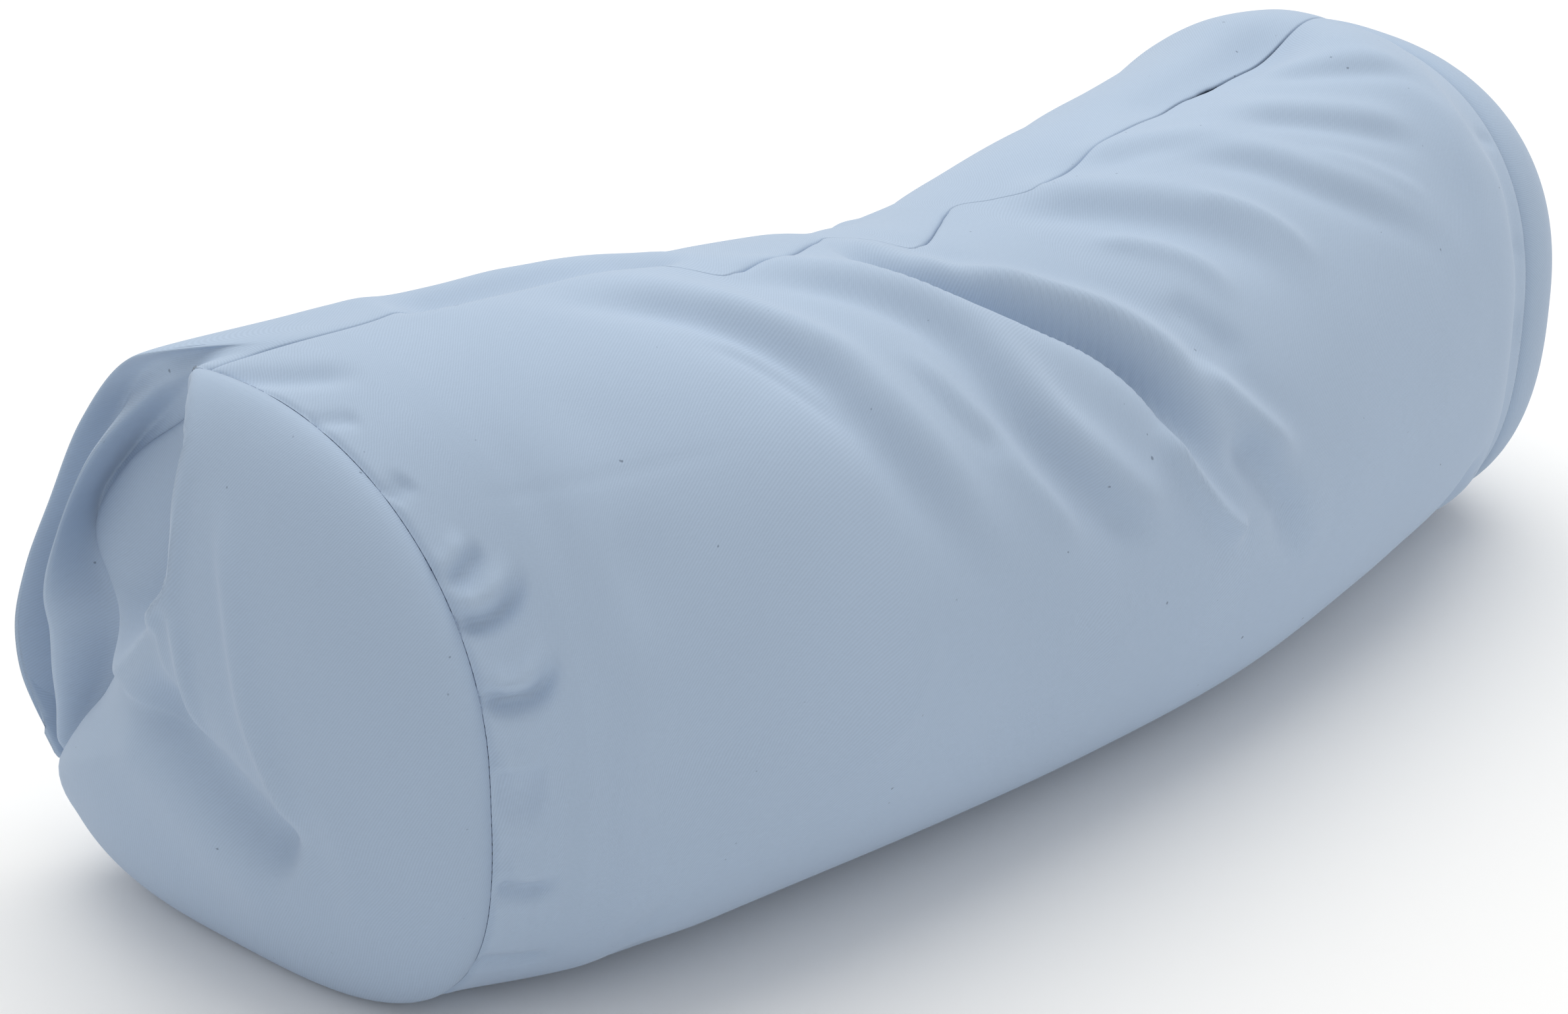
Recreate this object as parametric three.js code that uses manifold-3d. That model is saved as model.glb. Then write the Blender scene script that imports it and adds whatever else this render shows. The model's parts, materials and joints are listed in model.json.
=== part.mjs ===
// A limp bolster pillow, 6 by 16 inches: a zipped cotton twill cover round a filled inner cushion.
// Millimetres, +Z up. The pillow lies on z = 0 along X, and bends in plan round a vertical line at
// +Y, so its taut side faces -Y. The lengthwise seam of the cover runs along the top. Its middle
// holds a concealed zip, which follows an exact circular arc round the same vertical line.

import * as THREE from "three";
import { mergeVertices } from "three/addons/utils/BufferGeometryUtils.js";
import Module from "manifold-3d";

// ---- Driving dimensions ----

const CHORD = 401; // between the centres of the two end seams
const BEND_RADIUS = 712; // of the centre line, in plan
const BODY_HALF_WIDTH = 79;
const RIM_HALF_WIDTH = 76; // half of 6 in, at the end seams
const UPPER_HEIGHT = 74; // from the section's widest level to the crest
const LOWER_HEIGHT = 76; // from the widest level to the bottom of the round section
const FLATTENED = 2.5; // how much of that bottom the floor takes off
const UPPER_POWER = 2.2; // superellipse powers: 2 is an ellipse, more is boxier
const LOWER_POWER = 2.8;
const NEAR_END_TURN = THREE.MathUtils.degToRad(8); // turn of each end seam's plane from square
const FAR_END_TURN = THREE.MathUtils.degToRad(-5);
const DOME = 34; // how far each end panel bulges past its seam

const CLOTH = 0.8; // one layer of cover twill
const CASING = 0.6; // one layer of the cushion's casing
const GAP = 0.4; // between neighbouring layers
const ALLOWANCE = 10; // width of a turned-in seam allowance
const SEAM_GROOVE = 1.2; // between the body panel's edge and the end panel's shoulder
const SHOULDER = 0.3; // inset of that shoulder from the body panel's face
const FLANGE_ROOM = 0.3; // more room where a flange turns in at an end seam
const THREAD = 0.3; // radius of the end seams' thread
const FINE_THREAD = 0.2; // radius of the other seams' thread

const SEAM_ANGLE = THREE.MathUtils.degToRad(8); // lengthwise seam, from the crest towards +Y
const ZIP_LENGTH = 250;
const SLOT = 0.7; // half the opening between the cover's folded edges, along the zip
const CLOSED_SLOT = 0.25; // the same where the seam is sewn shut
const TAPE_WIDTH = 10.4;
const TAPE = 0.5; // thickness
const TAPE_TAIL = 4; // how far the tapes run past each end of the chain
const TAPE_SETBACK = 0.1; // of the tapes' edges from the folded edges of the cloth
const TAPE_STITCH = 5; // from the seam to the stitching that holds a tape
const COIL_WIDTH = 1.6;
const COIL_HEIGHT = 1.2;
const COIL_SETBACK = 0.05;
const COIL_BEVEL = 0.35;
const STOP_LENGTH = 3;
const STOP_DROP = 0.6; // how far a stop hangs below the chain

const SLIDER_LENGTH = 11;
const SLIDER_WIDTH = 6.8;
const SLIDER_WALL = 0.8;
const SLIDER_ROOM = 1; // kept free under the slider
const NECK_HALF_LENGTH = 1.6;
const NECK_SIDE_PLAY = 0.3; // between the neck and each edge of the slot
const NECK_TOP = 0.4; // above the cloth
const EYE_HALF_LENGTH = 3.1;
const EYE_SHOULDER = 0.8; // height of the eye plate's lower corners
const EYE_TOP = 3.4;
const EYE_CORNER = 1; // height of its rounded upper corners
const EYE_FLAT = 1.4; // half the length of its flat top
const PIVOT_HEIGHT = 1.95; // of the pull tab's pivot above the cloth
const PIVOT_RADIUS = 0.45;
const PIVOT_PLAY = 0.35;

const TAB_LENGTH = 24; // from the pivot to the tip
const TAB_THICKNESS = 0.9;
const TAB_TIP_RADIUS = 3.2;
const TAB_WAIST = 1.6; // half its width at the narrowest place
const TAB_WAIST_AT = 8;
const TAB_SWELL_AT = 14; // where the sides start to spread to the tip
const TAB_FULL_AT = 19; // where they reach the tip's full width
const TAB_HOLE_RADIUS = 1.4;
const ARM_INSIDE = 0.75; // from the middle of the tab to each arm's inner face
const ARM_OUTSIDE = 1.9;
const ARM_LENGTH = 4.2;
const ARM_HEEL = 0.3; // how far the arms reach past the pivot
const ARM_OVERLAP = 0.3; // of the arms and the tab's blade
const ARM_THICKNESS = 0.72;

const AROUND = 32; // facets round a section
const ALONG = 12; // steps along the body, between its turned-in ends
const ZIP_STEPS = 16; // steps along the zip
const DOME_STEPS = 6; // steps up an end panel

// ---- Derived dimensions ----

const CENTRE_HEIGHT = LOWER_HEIGHT - FLATTENED;
const HALF_ARC = BEND_RADIUS * Math.asin(CHORD / 2 / BEND_RADIUS);
const SEAM = sectionPoint(0, SEAM_ANGLE, 0);
const SEAM_RADIUS = BEND_RADIUS - SEAM.y;
const ZIP_HALF_TURN = ZIP_LENGTH / 2 / SEAM_RADIUS;
const ZIP_HALF_ARC = ZIP_HALF_TURN * BEND_RADIUS;
const SEAM_STEP = 1e-4;
const SEAM_TANGENT = sectionPoint(0, SEAM_ANGLE + SEAM_STEP, 0)
  .sub(SEAM)
  .divideScalar(SEAM_STEP);
const ANGLE_PER_MM = 1 / SEAM_TANGENT.length();

// Depths below the cover's outer face, along the seam.
const FLANGE_DEPTH = 2 * CLOTH + GAP + FLANGE_ROOM; // the end panel's allowance, at the end seams
const TAPE_DEPTH = 2 * CLOTH + GAP;
const COIL_DEPTH = TAPE_DEPTH + TAPE + GAP;
const PLATE_DEPTH = COIL_DEPTH + COIL_HEIGHT + GAP;
const CUSHION_DEPTH = FLANGE_DEPTH + CLOTH + GAP;
const ZIP_DENT = PLATE_DEPTH + SLIDER_WALL + GAP + SLIDER_ROOM - CUSHION_DEPTH;
const ZIP_DENT_WIDTH = 9;
const FILLING_DEPTH = CUSHION_DEPTH + CASING + GAP;

// ---- The pillow's shape ----

// A point of the cross-section: y across, z up. The angle runs from the crest towards +Y, and the
// inset is the distance in from the outer face. The floor flattens the underside.
function sectionPoint(arc, angle, inset) {
  const past = pastZip(arc);
  const width = BODY_HALF_WIDTH - (BODY_HALF_WIDTH - RIM_HALF_WIDTH) * past * past - inset;
  const across = Math.sin(angle);
  const up = Math.cos(angle);
  const power = 2 / (up > 0 ? UPPER_POWER : LOWER_POWER);
  const height = (up > 0 ? UPPER_HEIGHT : LOWER_HEIGHT) - inset;
  const y = width * Math.sign(across) * Math.abs(across) ** power;
  const z = CENTRE_HEIGHT + height * Math.sign(up) * Math.abs(up) ** power;
  return new THREE.Vector3(0, y, Math.max(z, inset));
}

// 0 along the zip, rising to 1 at the end seams.
function pastZip(arc) {
  const zone = ZIP_LENGTH / 2 + TAPE_TAIL;
  return THREE.MathUtils.clamp((Math.abs(arc) - zone) / (HALF_ARC - zone), 0, 1);
}

// The direction that a section faces. Along the zip it is square to the bent centre line, and
// towards the ends it swings back to the end seam's own plane.
function heading(arc) {
  const square = arc / BEND_RADIUS;
  const end = arc < 0 ? NEAR_END_TURN : FAR_END_TURN;
  return THREE.MathUtils.lerp(square, end, THREE.MathUtils.smoothstep(pastZip(arc), 0, 1));
}

// Moves a section point to its place: arc is the distance along the centre line, and beyond is the
// distance along the section's own facing direction.
function place(arc, point, beyond = 0) {
  const turn = arc / BEND_RADIUS;
  const facing = heading(arc);
  return new THREE.Vector3(
    BEND_RADIUS * Math.sin(turn) - point.y * Math.sin(facing) + beyond * Math.cos(facing),
    BEND_RADIUS * (1 - Math.cos(turn)) + point.y * Math.cos(facing) + beyond * Math.sin(facing),
    point.z,
  );
}

function surfacePoint(arc, angle, inset) {
  return place(arc, sectionPoint(arc, angle, inset));
}

// A point near the lengthwise seam: across is the distance round the section from the seam.
function seamPoint(arc, across, depth) {
  return surfacePoint(arc, SEAM_ANGLE + across * ANGLE_PER_MM, depth);
}

// A point on an end panel: climb runs from 0 at the end seam to a quarter turn at its middle. The
// bulge may be set in by another depth than the rim.
function domePoint(side, angle, climb, inset, depth = inset) {
  const rim = sectionPoint(side * HALF_ARC, angle, inset);
  const point = new THREE.Vector3(
    0,
    rim.y * Math.cos(climb),
    CENTRE_HEIGHT + (rim.z - CENTRE_HEIGHT) * Math.cos(climb),
  );
  return place(side * HALF_ARC, point, side * (SEAM_GROOVE + (DOME - depth) * Math.sin(climb)));
}

// How far the cushion yields under the zip, at a given angle round the section.
function zipDent(angle) {
  const across = Math.atan2(Math.sin(angle - SEAM_ANGLE), Math.cos(angle - SEAM_ANGLE));
  return ZIP_DENT * Math.exp(-((across / ANGLE_PER_MM / ZIP_DENT_WIDTH) ** 2));
}

// ---- Mesh helpers ----

function range(count, from, to) {
  return Array.from({ length: count + 1 }, (_, i) => from + ((to - from) * i) / count);
}

function roundAngles() {
  return range(AROUND, 0, 2 * Math.PI).slice(0, -1);
}

// Collects triangles, and leaves out those that a pole has closed to a line.
class Facets {
  constructor() {
    this.positions = [];
  }

  triangle(a, b, c) {
    const area = b.clone().sub(a).cross(c.clone().sub(a)).length();
    if (area > 1e-6) for (const p of [a, b, c]) this.positions.push(p.x, p.y, p.z);
  }

  quad(a, b, c, d) {
    this.triangle(a, b, c);
    this.triangle(a, c, d);
  }

  // Joins two rows of points with a band.
  band(first, second, closed) {
    const count = closed ? first.length : first.length - 1;
    for (let i = 0; i < count; i++) {
      const next = (i + 1) % first.length;
      this.quad(first[i], first[next], second[next], second[i]);
    }
  }

  geometry() {
    const made = new THREE.BufferGeometry();
    made.setAttribute("position", new THREE.Float32BufferAttribute(this.positions, 3));
    return faceOut(made);
  }
}

// Turns a closed mesh the right way out, by the sign of its volume.
function faceOut(geometry) {
  const p = geometry.getAttribute("position");
  const corner = (i) => new THREE.Vector3().fromBufferAttribute(p, i);
  let volume = 0;
  for (let i = 0; i < p.count; i += 3) volume += corner(i).dot(corner(i + 1).cross(corner(i + 2)));
  if (volume < 0) {
    for (let i = 0; i < p.count; i += 3) {
      const [b, c] = [corner(i + 1), corner(i + 2)];
      p.setXYZ(i + 1, c.x, c.y, c.z);
      p.setXYZ(i + 2, b.x, b.y, b.z);
    }
  }
  geometry.computeVertexNormals();
  return geometry;
}

// A sheet of cloth with a thickness, from matching rows of points on its outer and inner faces.
// A tube's rows close on themselves. A dome's last row is a pole, so it has no edge there.
function sheetBetween(outer, inner, { tube = false, pole = false } = {}) {
  const facets = new Facets();
  for (let row = 0; row + 1 < outer.length; row++) {
    facets.band(outer[row], outer[row + 1], tube);
    facets.band(inner[row + 1], inner[row], tube);
    if (!tube) {
      const last = outer[row].length - 1;
      facets.quad(outer[row][0], outer[row + 1][0], inner[row + 1][0], inner[row][0]);
      facets.quad(inner[row][last], inner[row + 1][last], outer[row + 1][last], outer[row][last]);
    }
  }
  facets.band(inner[0], outer[0], tube);
  if (!pole) facets.band(outer.at(-1), inner.at(-1), tube);
  return facets.geometry();
}

// A solid through a series of rings, closed by a fan at each end.
function loft(rings) {
  const facets = new Facets();
  for (let i = 0; i + 1 < rings.length; i++) facets.band(rings[i], rings[i + 1], true);
  for (const [ring, flip] of [[rings[0], true], [rings.at(-1), false]]) {
    const middle = ring.reduce((sum, p) => sum.add(p), new THREE.Vector3());
    middle.divideScalar(ring.length);
    ring.forEach((p, i) => {
      const next = ring[(i + 1) % ring.length];
      if (flip) facets.triangle(next, p, middle);
      else facets.triangle(p, next, middle);
    });
  }
  return facets.geometry();
}

// A thread that runs round a closed loop of points.
function threadLoop(points, radius, sides = 5) {
  const rings = points.map((p, i) => {
    const ahead = points[(i + 1) % points.length].clone().sub(points.at(i - 1)).normalize();
    const across = new THREE.Vector3(1, 0, 0).cross(ahead).normalize();
    const along = ahead.clone().cross(across).normalize();
    return range(sides, 0, 2 * Math.PI)
      .slice(0, -1)
      .map((turn) =>
        p
          .clone()
          .addScaledVector(across, radius * Math.cos(turn))
          .addScaledVector(along, radius * Math.sin(turn)),
      );
  });
  const facets = new Facets();
  rings.forEach((ring, i) => facets.band(ring, rings[(i + 1) % rings.length], true));
  return facets.geometry();
}

// A strip along the lengthwise seam, with a section of [across, depth] corners.
function alongSeam(from, to, corners, steps) {
  return loft(
    range(steps, from, to).map((arc) =>
      corners.map(([across, depth]) => seamPoint(arc, across, depth)),
    ),
  );
}

function boxCorners(left, right, top, bottom) {
  return [[left, top], [right, top], [right, bottom], [left, bottom]];
}

function roundCorners(across, depth, radius, sides = 6) {
  return range(sides, 0, 2 * Math.PI)
    .slice(0, -1)
    .map((turn) => [across + radius * Math.cos(turn), depth + radius * Math.sin(turn)]);
}

// ---- Solid joins ----

const wasm = await Module();
wasm.setup();

function toSolid(geometry) {
  const plain = geometry.index ? geometry.toNonIndexed() : geometry.clone();
  plain.deleteAttribute("normal");
  plain.deleteAttribute("uv");
  const merged = mergeVertices(plain, 1e-4);
  return new wasm.Manifold(
    new wasm.Mesh({
      numProp: 3,
      vertProperties: merged.getAttribute("position").array,
      triVerts: new Uint32Array(merged.index.array),
    }),
  );
}

function joined(...geometries) {
  const mesh = geometries
    .map(toSolid)
    .reduce((whole, piece) => whole.add(piece))
    .getMesh();
  const made = new THREE.BufferGeometry();
  made.setAttribute("position", new THREE.Float32BufferAttribute(mesh.vertProperties, 3));
  made.setIndex([...mesh.triVerts]);
  return made.toNonIndexed();
}

function box(x0, x1, y0, y1, z0, z1) {
  return new THREE.BoxGeometry(x1 - x0, y1 - y0, z1 - z0).translate(
    (x0 + x1) / 2,
    (y0 + y1) / 2,
    (z0 + z1) / 2,
  );
}

// ---- Cover ----

// Steps along the body, with a short step where each turned-in allowance ends.
function bodyArcs() {
  const allowance = HALF_ARC - ALLOWANCE;
  const middle = range(ALONG, -allowance + 0.5, allowance - 0.5);
  return [-HALF_ARC, -allowance, ...middle, allowance, HALF_ARC];
}

// The body panel is one rectangle of twill, rolled so that its two long edges meet at the seam. It
// is double where an edge is turned in: along the seam, and at both end seams.
function coverBodyPanel() {
  const edge = ALLOWANCE * ANGLE_PER_MM;
  const row = (arc, inner) => {
    const slot = pastZip(arc) > 0 ? CLOSED_SLOT : SLOT;
    const start = SEAM_ANGLE + slot * ANGLE_PER_MM;
    const end = SEAM_ANGLE + 2 * Math.PI - slot * ANGLE_PER_MM;
    const turned = Math.abs(arc) >= HALF_ARC - ALLOWANCE;
    const inset = (double) => (inner ? CLOTH * (double || turned ? 2 : 1) : 0);
    const step = 0.5 * ANGLE_PER_MM;
    return [
      surfacePoint(arc, start, inset(true)),
      surfacePoint(arc, start + edge, inset(true)),
      ...range(AROUND, start + edge + step, end - edge - step).map((angle) =>
        surfacePoint(arc, angle, inset(false)),
      ),
      surfacePoint(arc, end - edge, inset(true)),
      surfacePoint(arc, end, inset(true)),
    ];
  };
  const arcs = bodyArcs();
  return sheetBetween(
    arcs.map((arc) => row(arc, false)),
    arcs.map((arc) => row(arc, true)),
  );
}

// A round end panel: a flange turned into the body, a shoulder at the end seam, and the dome.
function coverEndPanel(side) {
  const ring = (arc, inset, beyond = 0) =>
    roundAngles().map((angle) =>
      place(side * arc, sectionPoint(side * arc, angle, inset), side * beyond),
    );
  const dome = (inset) =>
    range(DOME_STEPS, 0, Math.PI / 2).map((climb) =>
      roundAngles().map((angle) => domePoint(side, angle, climb, inset)),
    );
  const flangeInside = FLANGE_DEPTH + CLOTH;
  const face = (inset, domeInset) => [
    ring(HALF_ARC - ALLOWANCE, inset),
    ring(HALF_ARC, inset),
    ring(HALF_ARC, inset, SEAM_GROOVE - 0.1), // just short of the dome's foot
    ...dome(domeInset),
  ];
  return sheetBetween(face(FLANGE_DEPTH, SHOULDER), face(flangeInside, flangeInside), {
    tube: true,
    pole: true,
  });
}

// The lock-stitched thread that shows as a dark line in the groove of an end seam.
function endSeamThread(side) {
  const arc = side * HALF_ARC;
  const points = roundAngles().map((angle) =>
    place(arc, sectionPoint(arc, angle, 2 * THREAD), (side * SEAM_GROOVE) / 2),
  );
  return threadLoop(points, THREAD);
}

// The plain seam's thread, below the butted edges between an end of the zip and the end seam.
function plainSeamThread(side) {
  const from = side * (ZIP_HALF_ARC + TAPE_TAIL + STOP_LENGTH + 1);
  const to = side * (HALF_ARC - ALLOWANCE - 1);
  return alongSeam(from, to, roundCorners(0, 2 * CLOTH + GAP + FINE_THREAD, FINE_THREAD), 8);
}

// ---- Zip ----

function zipTape(side) {
  const corners = boxCorners(
    side * (SLOT + TAPE_SETBACK),
    side * (SLOT + TAPE_SETBACK + TAPE_WIDTH),
    TAPE_DEPTH,
    TAPE_DEPTH + TAPE,
  );
  const half = ZIP_HALF_ARC + TAPE_TAIL;
  return alongSeam(-half, half, corners, ZIP_STEPS);
}

// Half of the chain, as a plain rod. The gap between the halves leaves way for the slider's neck.
function zipCoil(side) {
  const near = side * (SLOT + COIL_SETBACK);
  const far = near + side * COIL_WIDTH;
  const bevel = side * COIL_BEVEL;
  const low = COIL_DEPTH + COIL_HEIGHT;
  const corners = [
    [near + bevel, COIL_DEPTH],
    [far - bevel, COIL_DEPTH],
    [far, COIL_DEPTH + COIL_BEVEL],
    [far, low - COIL_BEVEL],
    [far - bevel, low],
    [near + bevel, low],
    [near, low - COIL_BEVEL],
    [near, COIL_DEPTH + COIL_BEVEL],
  ];
  return alongSeam(-ZIP_HALF_ARC, ZIP_HALF_ARC, corners, ZIP_STEPS);
}

function zipTopStop(side) {
  const near = side * (SLOT + COIL_SETBACK);
  const low = COIL_DEPTH + COIL_HEIGHT + STOP_DROP;
  const corners = boxCorners(near, near + side * COIL_WIDTH, COIL_DEPTH, low);
  return alongSeam(-ZIP_HALF_ARC - GAP - STOP_LENGTH, -ZIP_HALF_ARC - GAP, corners, 2);
}

function zipBottomStop() {
  const half = SLOT + COIL_SETBACK + COIL_WIDTH;
  const corners = boxCorners(-half, half, COIL_DEPTH, COIL_DEPTH + COIL_HEIGHT + STOP_DROP);
  return alongSeam(ZIP_HALF_ARC + GAP, ZIP_HALF_ARC + GAP + STOP_LENGTH, corners, 2);
}

function zipStitching(side) {
  const depth = TAPE_DEPTH + TAPE + GAP + FINE_THREAD;
  const corners = roundCorners(side * TAPE_STITCH, depth, FINE_THREAD);
  return alongSeam(-ZIP_HALF_ARC, ZIP_HALF_ARC, corners, ZIP_STEPS);
}

// The slider and its tab are drawn at the origin, with X along the seam, Y across it towards the
// concave side, and Z out of the cloth, then set on the closed end of the chain.
function onSeam(geometry, arc) {
  const seam = seamPoint(arc, 0, 0);
  const along = place(arc, SEAM, 1).sub(place(arc, SEAM)).normalize();
  const across = place(arc, SEAM.clone().add(SEAM_TANGENT)).sub(place(arc, SEAM)).normalize();
  const out = along.clone().cross(across);
  return geometry
    .applyMatrix4(new THREE.Matrix4().makeBasis(along, across, out))
    .translate(seam.x, seam.y, seam.z);
}

function closedSliderArc() {
  return ((-ZIP_LENGTH / 2 + SLIDER_LENGTH / 2 + 1) / SEAM_RADIUS) * BEND_RADIUS;
}

// A channel under the chain, with a thin neck that passes between its halves and out through the
// slot in the cloth, and ends in a plate with an eye for the pull tab.
function zipSlider() {
  const half = SLIDER_LENGTH / 2;
  const wide = SLIDER_WIDTH / 2;
  const bottom = -PLATE_DEPTH - SLIDER_WALL;
  const wallTop = -TAPE_DEPTH - TAPE - GAP;
  return joined(
    box(-half, half, -wide, wide, bottom, bottom + SLIDER_WALL),
    box(-half, half, -wide, -wide + SLIDER_WALL, bottom, wallTop),
    box(-half, half, wide - SLIDER_WALL, wide, bottom, wallTop),
    sliderNeck(bottom + SLIDER_WALL / 2),
  );
}

function sliderNeck(foot) {
  const rounded = EYE_TOP - EYE_CORNER;
  const bend = (EYE_HALF_LENGTH + EYE_FLAT) / 2;
  const blade = new THREE.Shape();
  blade.moveTo(-NECK_HALF_LENGTH, foot);
  blade.lineTo(NECK_HALF_LENGTH, foot);
  blade.lineTo(NECK_HALF_LENGTH, NECK_TOP);
  blade.lineTo(EYE_HALF_LENGTH, EYE_SHOULDER);
  blade.lineTo(EYE_HALF_LENGTH, rounded);
  blade.quadraticCurveTo(bend, EYE_TOP, EYE_FLAT, EYE_TOP);
  blade.lineTo(-EYE_FLAT, EYE_TOP);
  blade.quadraticCurveTo(-bend, EYE_TOP, -EYE_HALF_LENGTH, rounded);
  blade.lineTo(-EYE_HALF_LENGTH, EYE_SHOULDER);
  blade.lineTo(-NECK_HALF_LENGTH, NECK_TOP);
  const eye = new THREE.Path();
  eye.absarc(0, PIVOT_HEIGHT, PIVOT_RADIUS + PIVOT_PLAY, 0, 2 * Math.PI, true);
  blade.holes.push(eye);
  const thickness = 2 * (SLOT - NECK_SIDE_PLAY);
  return new THREE.ExtrudeGeometry(blade, {
    depth: thickness,
    bevelEnabled: false,
    curveSegments: 6,
  })
    .translate(0, 0, -thickness / 2)
    .rotateX(Math.PI / 2);
}

// A pivot bar through the slider's eye, two arms beside the eye, and a teardrop blade.
function zipPullTab() {
  const barLength = ARM_INSIDE + ARM_OUTSIDE;
  const bar = new THREE.CylinderGeometry(PIVOT_RADIUS, PIVOT_RADIUS, barLength, 10);
  const arm = (from, to) =>
    box(-ARM_LENGTH, ARM_HEEL, from, to, -ARM_THICKNESS / 2, ARM_THICKNESS / 2);
  return joined(
    bar,
    arm(ARM_INSIDE, ARM_OUTSIDE),
    arm(-ARM_OUTSIDE, -ARM_INSIDE),
    tabBlade(),
  ).translate(0, 0, PIVOT_HEIGHT);
}

function tabBlade() {
  const root = -ARM_LENGTH + ARM_OVERLAP;
  const tip = -TAB_LENGTH + TAB_TIP_RADIUS;
  const blade = new THREE.Shape();
  blade.moveTo(root, -ARM_OUTSIDE);
  blade.lineTo(root, ARM_OUTSIDE);
  blade.lineTo(-TAB_WAIST_AT, TAB_WAIST);
  blade.quadraticCurveTo(-TAB_SWELL_AT, TAB_WAIST, -TAB_FULL_AT, TAB_TIP_RADIUS);
  blade.absarc(tip, 0, TAB_TIP_RADIUS, Math.PI / 2, (3 * Math.PI) / 2, false);
  blade.quadraticCurveTo(-TAB_SWELL_AT, -TAB_WAIST, -TAB_WAIST_AT, -TAB_WAIST);
  blade.lineTo(root, -ARM_OUTSIDE);
  const hole = new THREE.Path();
  hole.absarc(tip, 0, TAB_HOLE_RADIUS, 0, 2 * Math.PI, true);
  blade.holes.push(hole);
  return new THREE.ExtrudeGeometry(blade, {
    depth: TAB_THICKNESS,
    bevelEnabled: false,
    curveSegments: 8,
  }).translate(0, 0, -TAB_THICKNESS / 2);
}

// ---- Cushion ----

function cushionDepth(angle, extra) {
  return CUSHION_DEPTH + zipDent(angle) + extra;
}

function cushionRing(arc, extra) {
  return roundAngles().map((angle) => surfacePoint(arc, angle, cushionDepth(angle, extra)));
}

function cushionBodyPanel() {
  const arcs = bodyArcs();
  return sheetBetween(
    arcs.map((arc) => cushionRing(arc, 0)),
    arcs.map((arc) => cushionRing(arc, CASING)),
    { tube: true },
  );
}

// The end of the cushion, as a dome inside the cover's end panel.
function cushionDome(side, extra) {
  return range(DOME_STEPS - 1, 0, Math.PI / 2).map((climb) =>
    roundAngles().map((angle) =>
      domePoint(side, angle, climb, cushionDepth(angle, extra), CUSHION_DEPTH + extra),
    ),
  );
}

function cushionEndPanel(side) {
  return sheetBetween(cushionDome(side, GAP), cushionDome(side, GAP + CASING), {
    tube: true,
    pole: true,
  });
}

// The casing's own end seam, in the short gap between its body and its end panel.
function cushionSeamThread(side) {
  const arc = side * HALF_ARC;
  const points = roundAngles().map((angle) =>
    place(arc, sectionPoint(arc, angle, cushionDepth(angle, GAP)), (side * SEAM_GROOVE) / 2),
  );
  return threadLoop(points, FINE_THREAD);
}

function filling() {
  const extra = FILLING_DEPTH - CUSHION_DEPTH;
  const body = bodyArcs().map((arc) => cushionRing(arc, extra));
  const near = cushionDome(-1, extra + GAP).reverse();
  const far = cushionDome(1, extra + GAP);
  return loft([...near, ...body, ...far]);
}

// ---- Materials and assembly ----

const material = (color, roughness, metalness = 0) =>
  new THREE.MeshStandardMaterial({ color, roughness, metalness });
const MATERIALS = {
  twill: material(0xa9bad0, 0.88),
  thread: material(0x8796ad, 0.8),
  zipCloth: material(0x8fa3bf, 0.85),
  zipCoil: material(0x93a6c1, 0.5),
  zipMetal: material(0x9fb0c6, 0.4, 0.3),
  casing: material(0xe9e7e0, 0.9),
  filling: material(0xd8d4c8, 0.95),
};

const pillow = new THREE.Group();

function add(name, geometry, kind) {
  const mesh = new THREE.Mesh(geometry, MATERIALS[kind]);
  mesh.name = name;
  pillow.add(mesh);
}

for (const [side, end] of [[-1, "near"], [1, "far"]]) {
  add(`cover_end_panel_${end}`, coverEndPanel(side), "twill");
  add(`end_seam_thread_${end}`, endSeamThread(side), "thread");
  add(`plain_seam_thread_${end}`, plainSeamThread(side), "thread");
  add(`cushion_end_panel_${end}`, cushionEndPanel(side), "casing");
  add(`cushion_seam_thread_${end}`, cushionSeamThread(side), "thread");
}
for (const [side, hand] of [[-1, "front"], [1, "back"]]) {
  add(`zip_tape_${hand}`, zipTape(side), "zipCloth");
  add(`zip_coil_${hand}`, zipCoil(side), "zipCoil");
  add(`zip_stitching_${hand}`, zipStitching(side), "thread");
  add(`zip_top_stop_${hand}`, zipTopStop(side), "zipCoil");
}
add("cover_body_panel", coverBodyPanel(), "twill");
add("zip_bottom_stop", zipBottomStop(), "zipCoil");
add("zip_slider", onSeam(zipSlider(), closedSliderArc()), "zipMetal");
add("zip_pull_tab", onSeam(zipPullTab(), closedSliderArc()), "zipMetal");
add("cushion_body_panel", cushionBodyPanel(), "casing");
add("filling", filling(), "filling");

// The origin is the middle of the underside of the whole pillow.
const bounds = new THREE.Box3().setFromObject(pillow);
pillow.position.set(-(bounds.min.x + bounds.max.x) / 2, -(bounds.min.y + bounds.max.y) / 2, 0);

export default pillow;
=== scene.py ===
"""A limp bolster pillow in pale blue twill: the looks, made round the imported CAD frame.

The shape code works in millimetres in the frame's axes, and meshes are made in metres. A point of
the cover is given by its arc, the distance along the bent centre line from mid-length, and by its
angle round the section in degrees, from the crest towards +Y.
"""
import json
import math
from typing import NamedTuple

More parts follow.
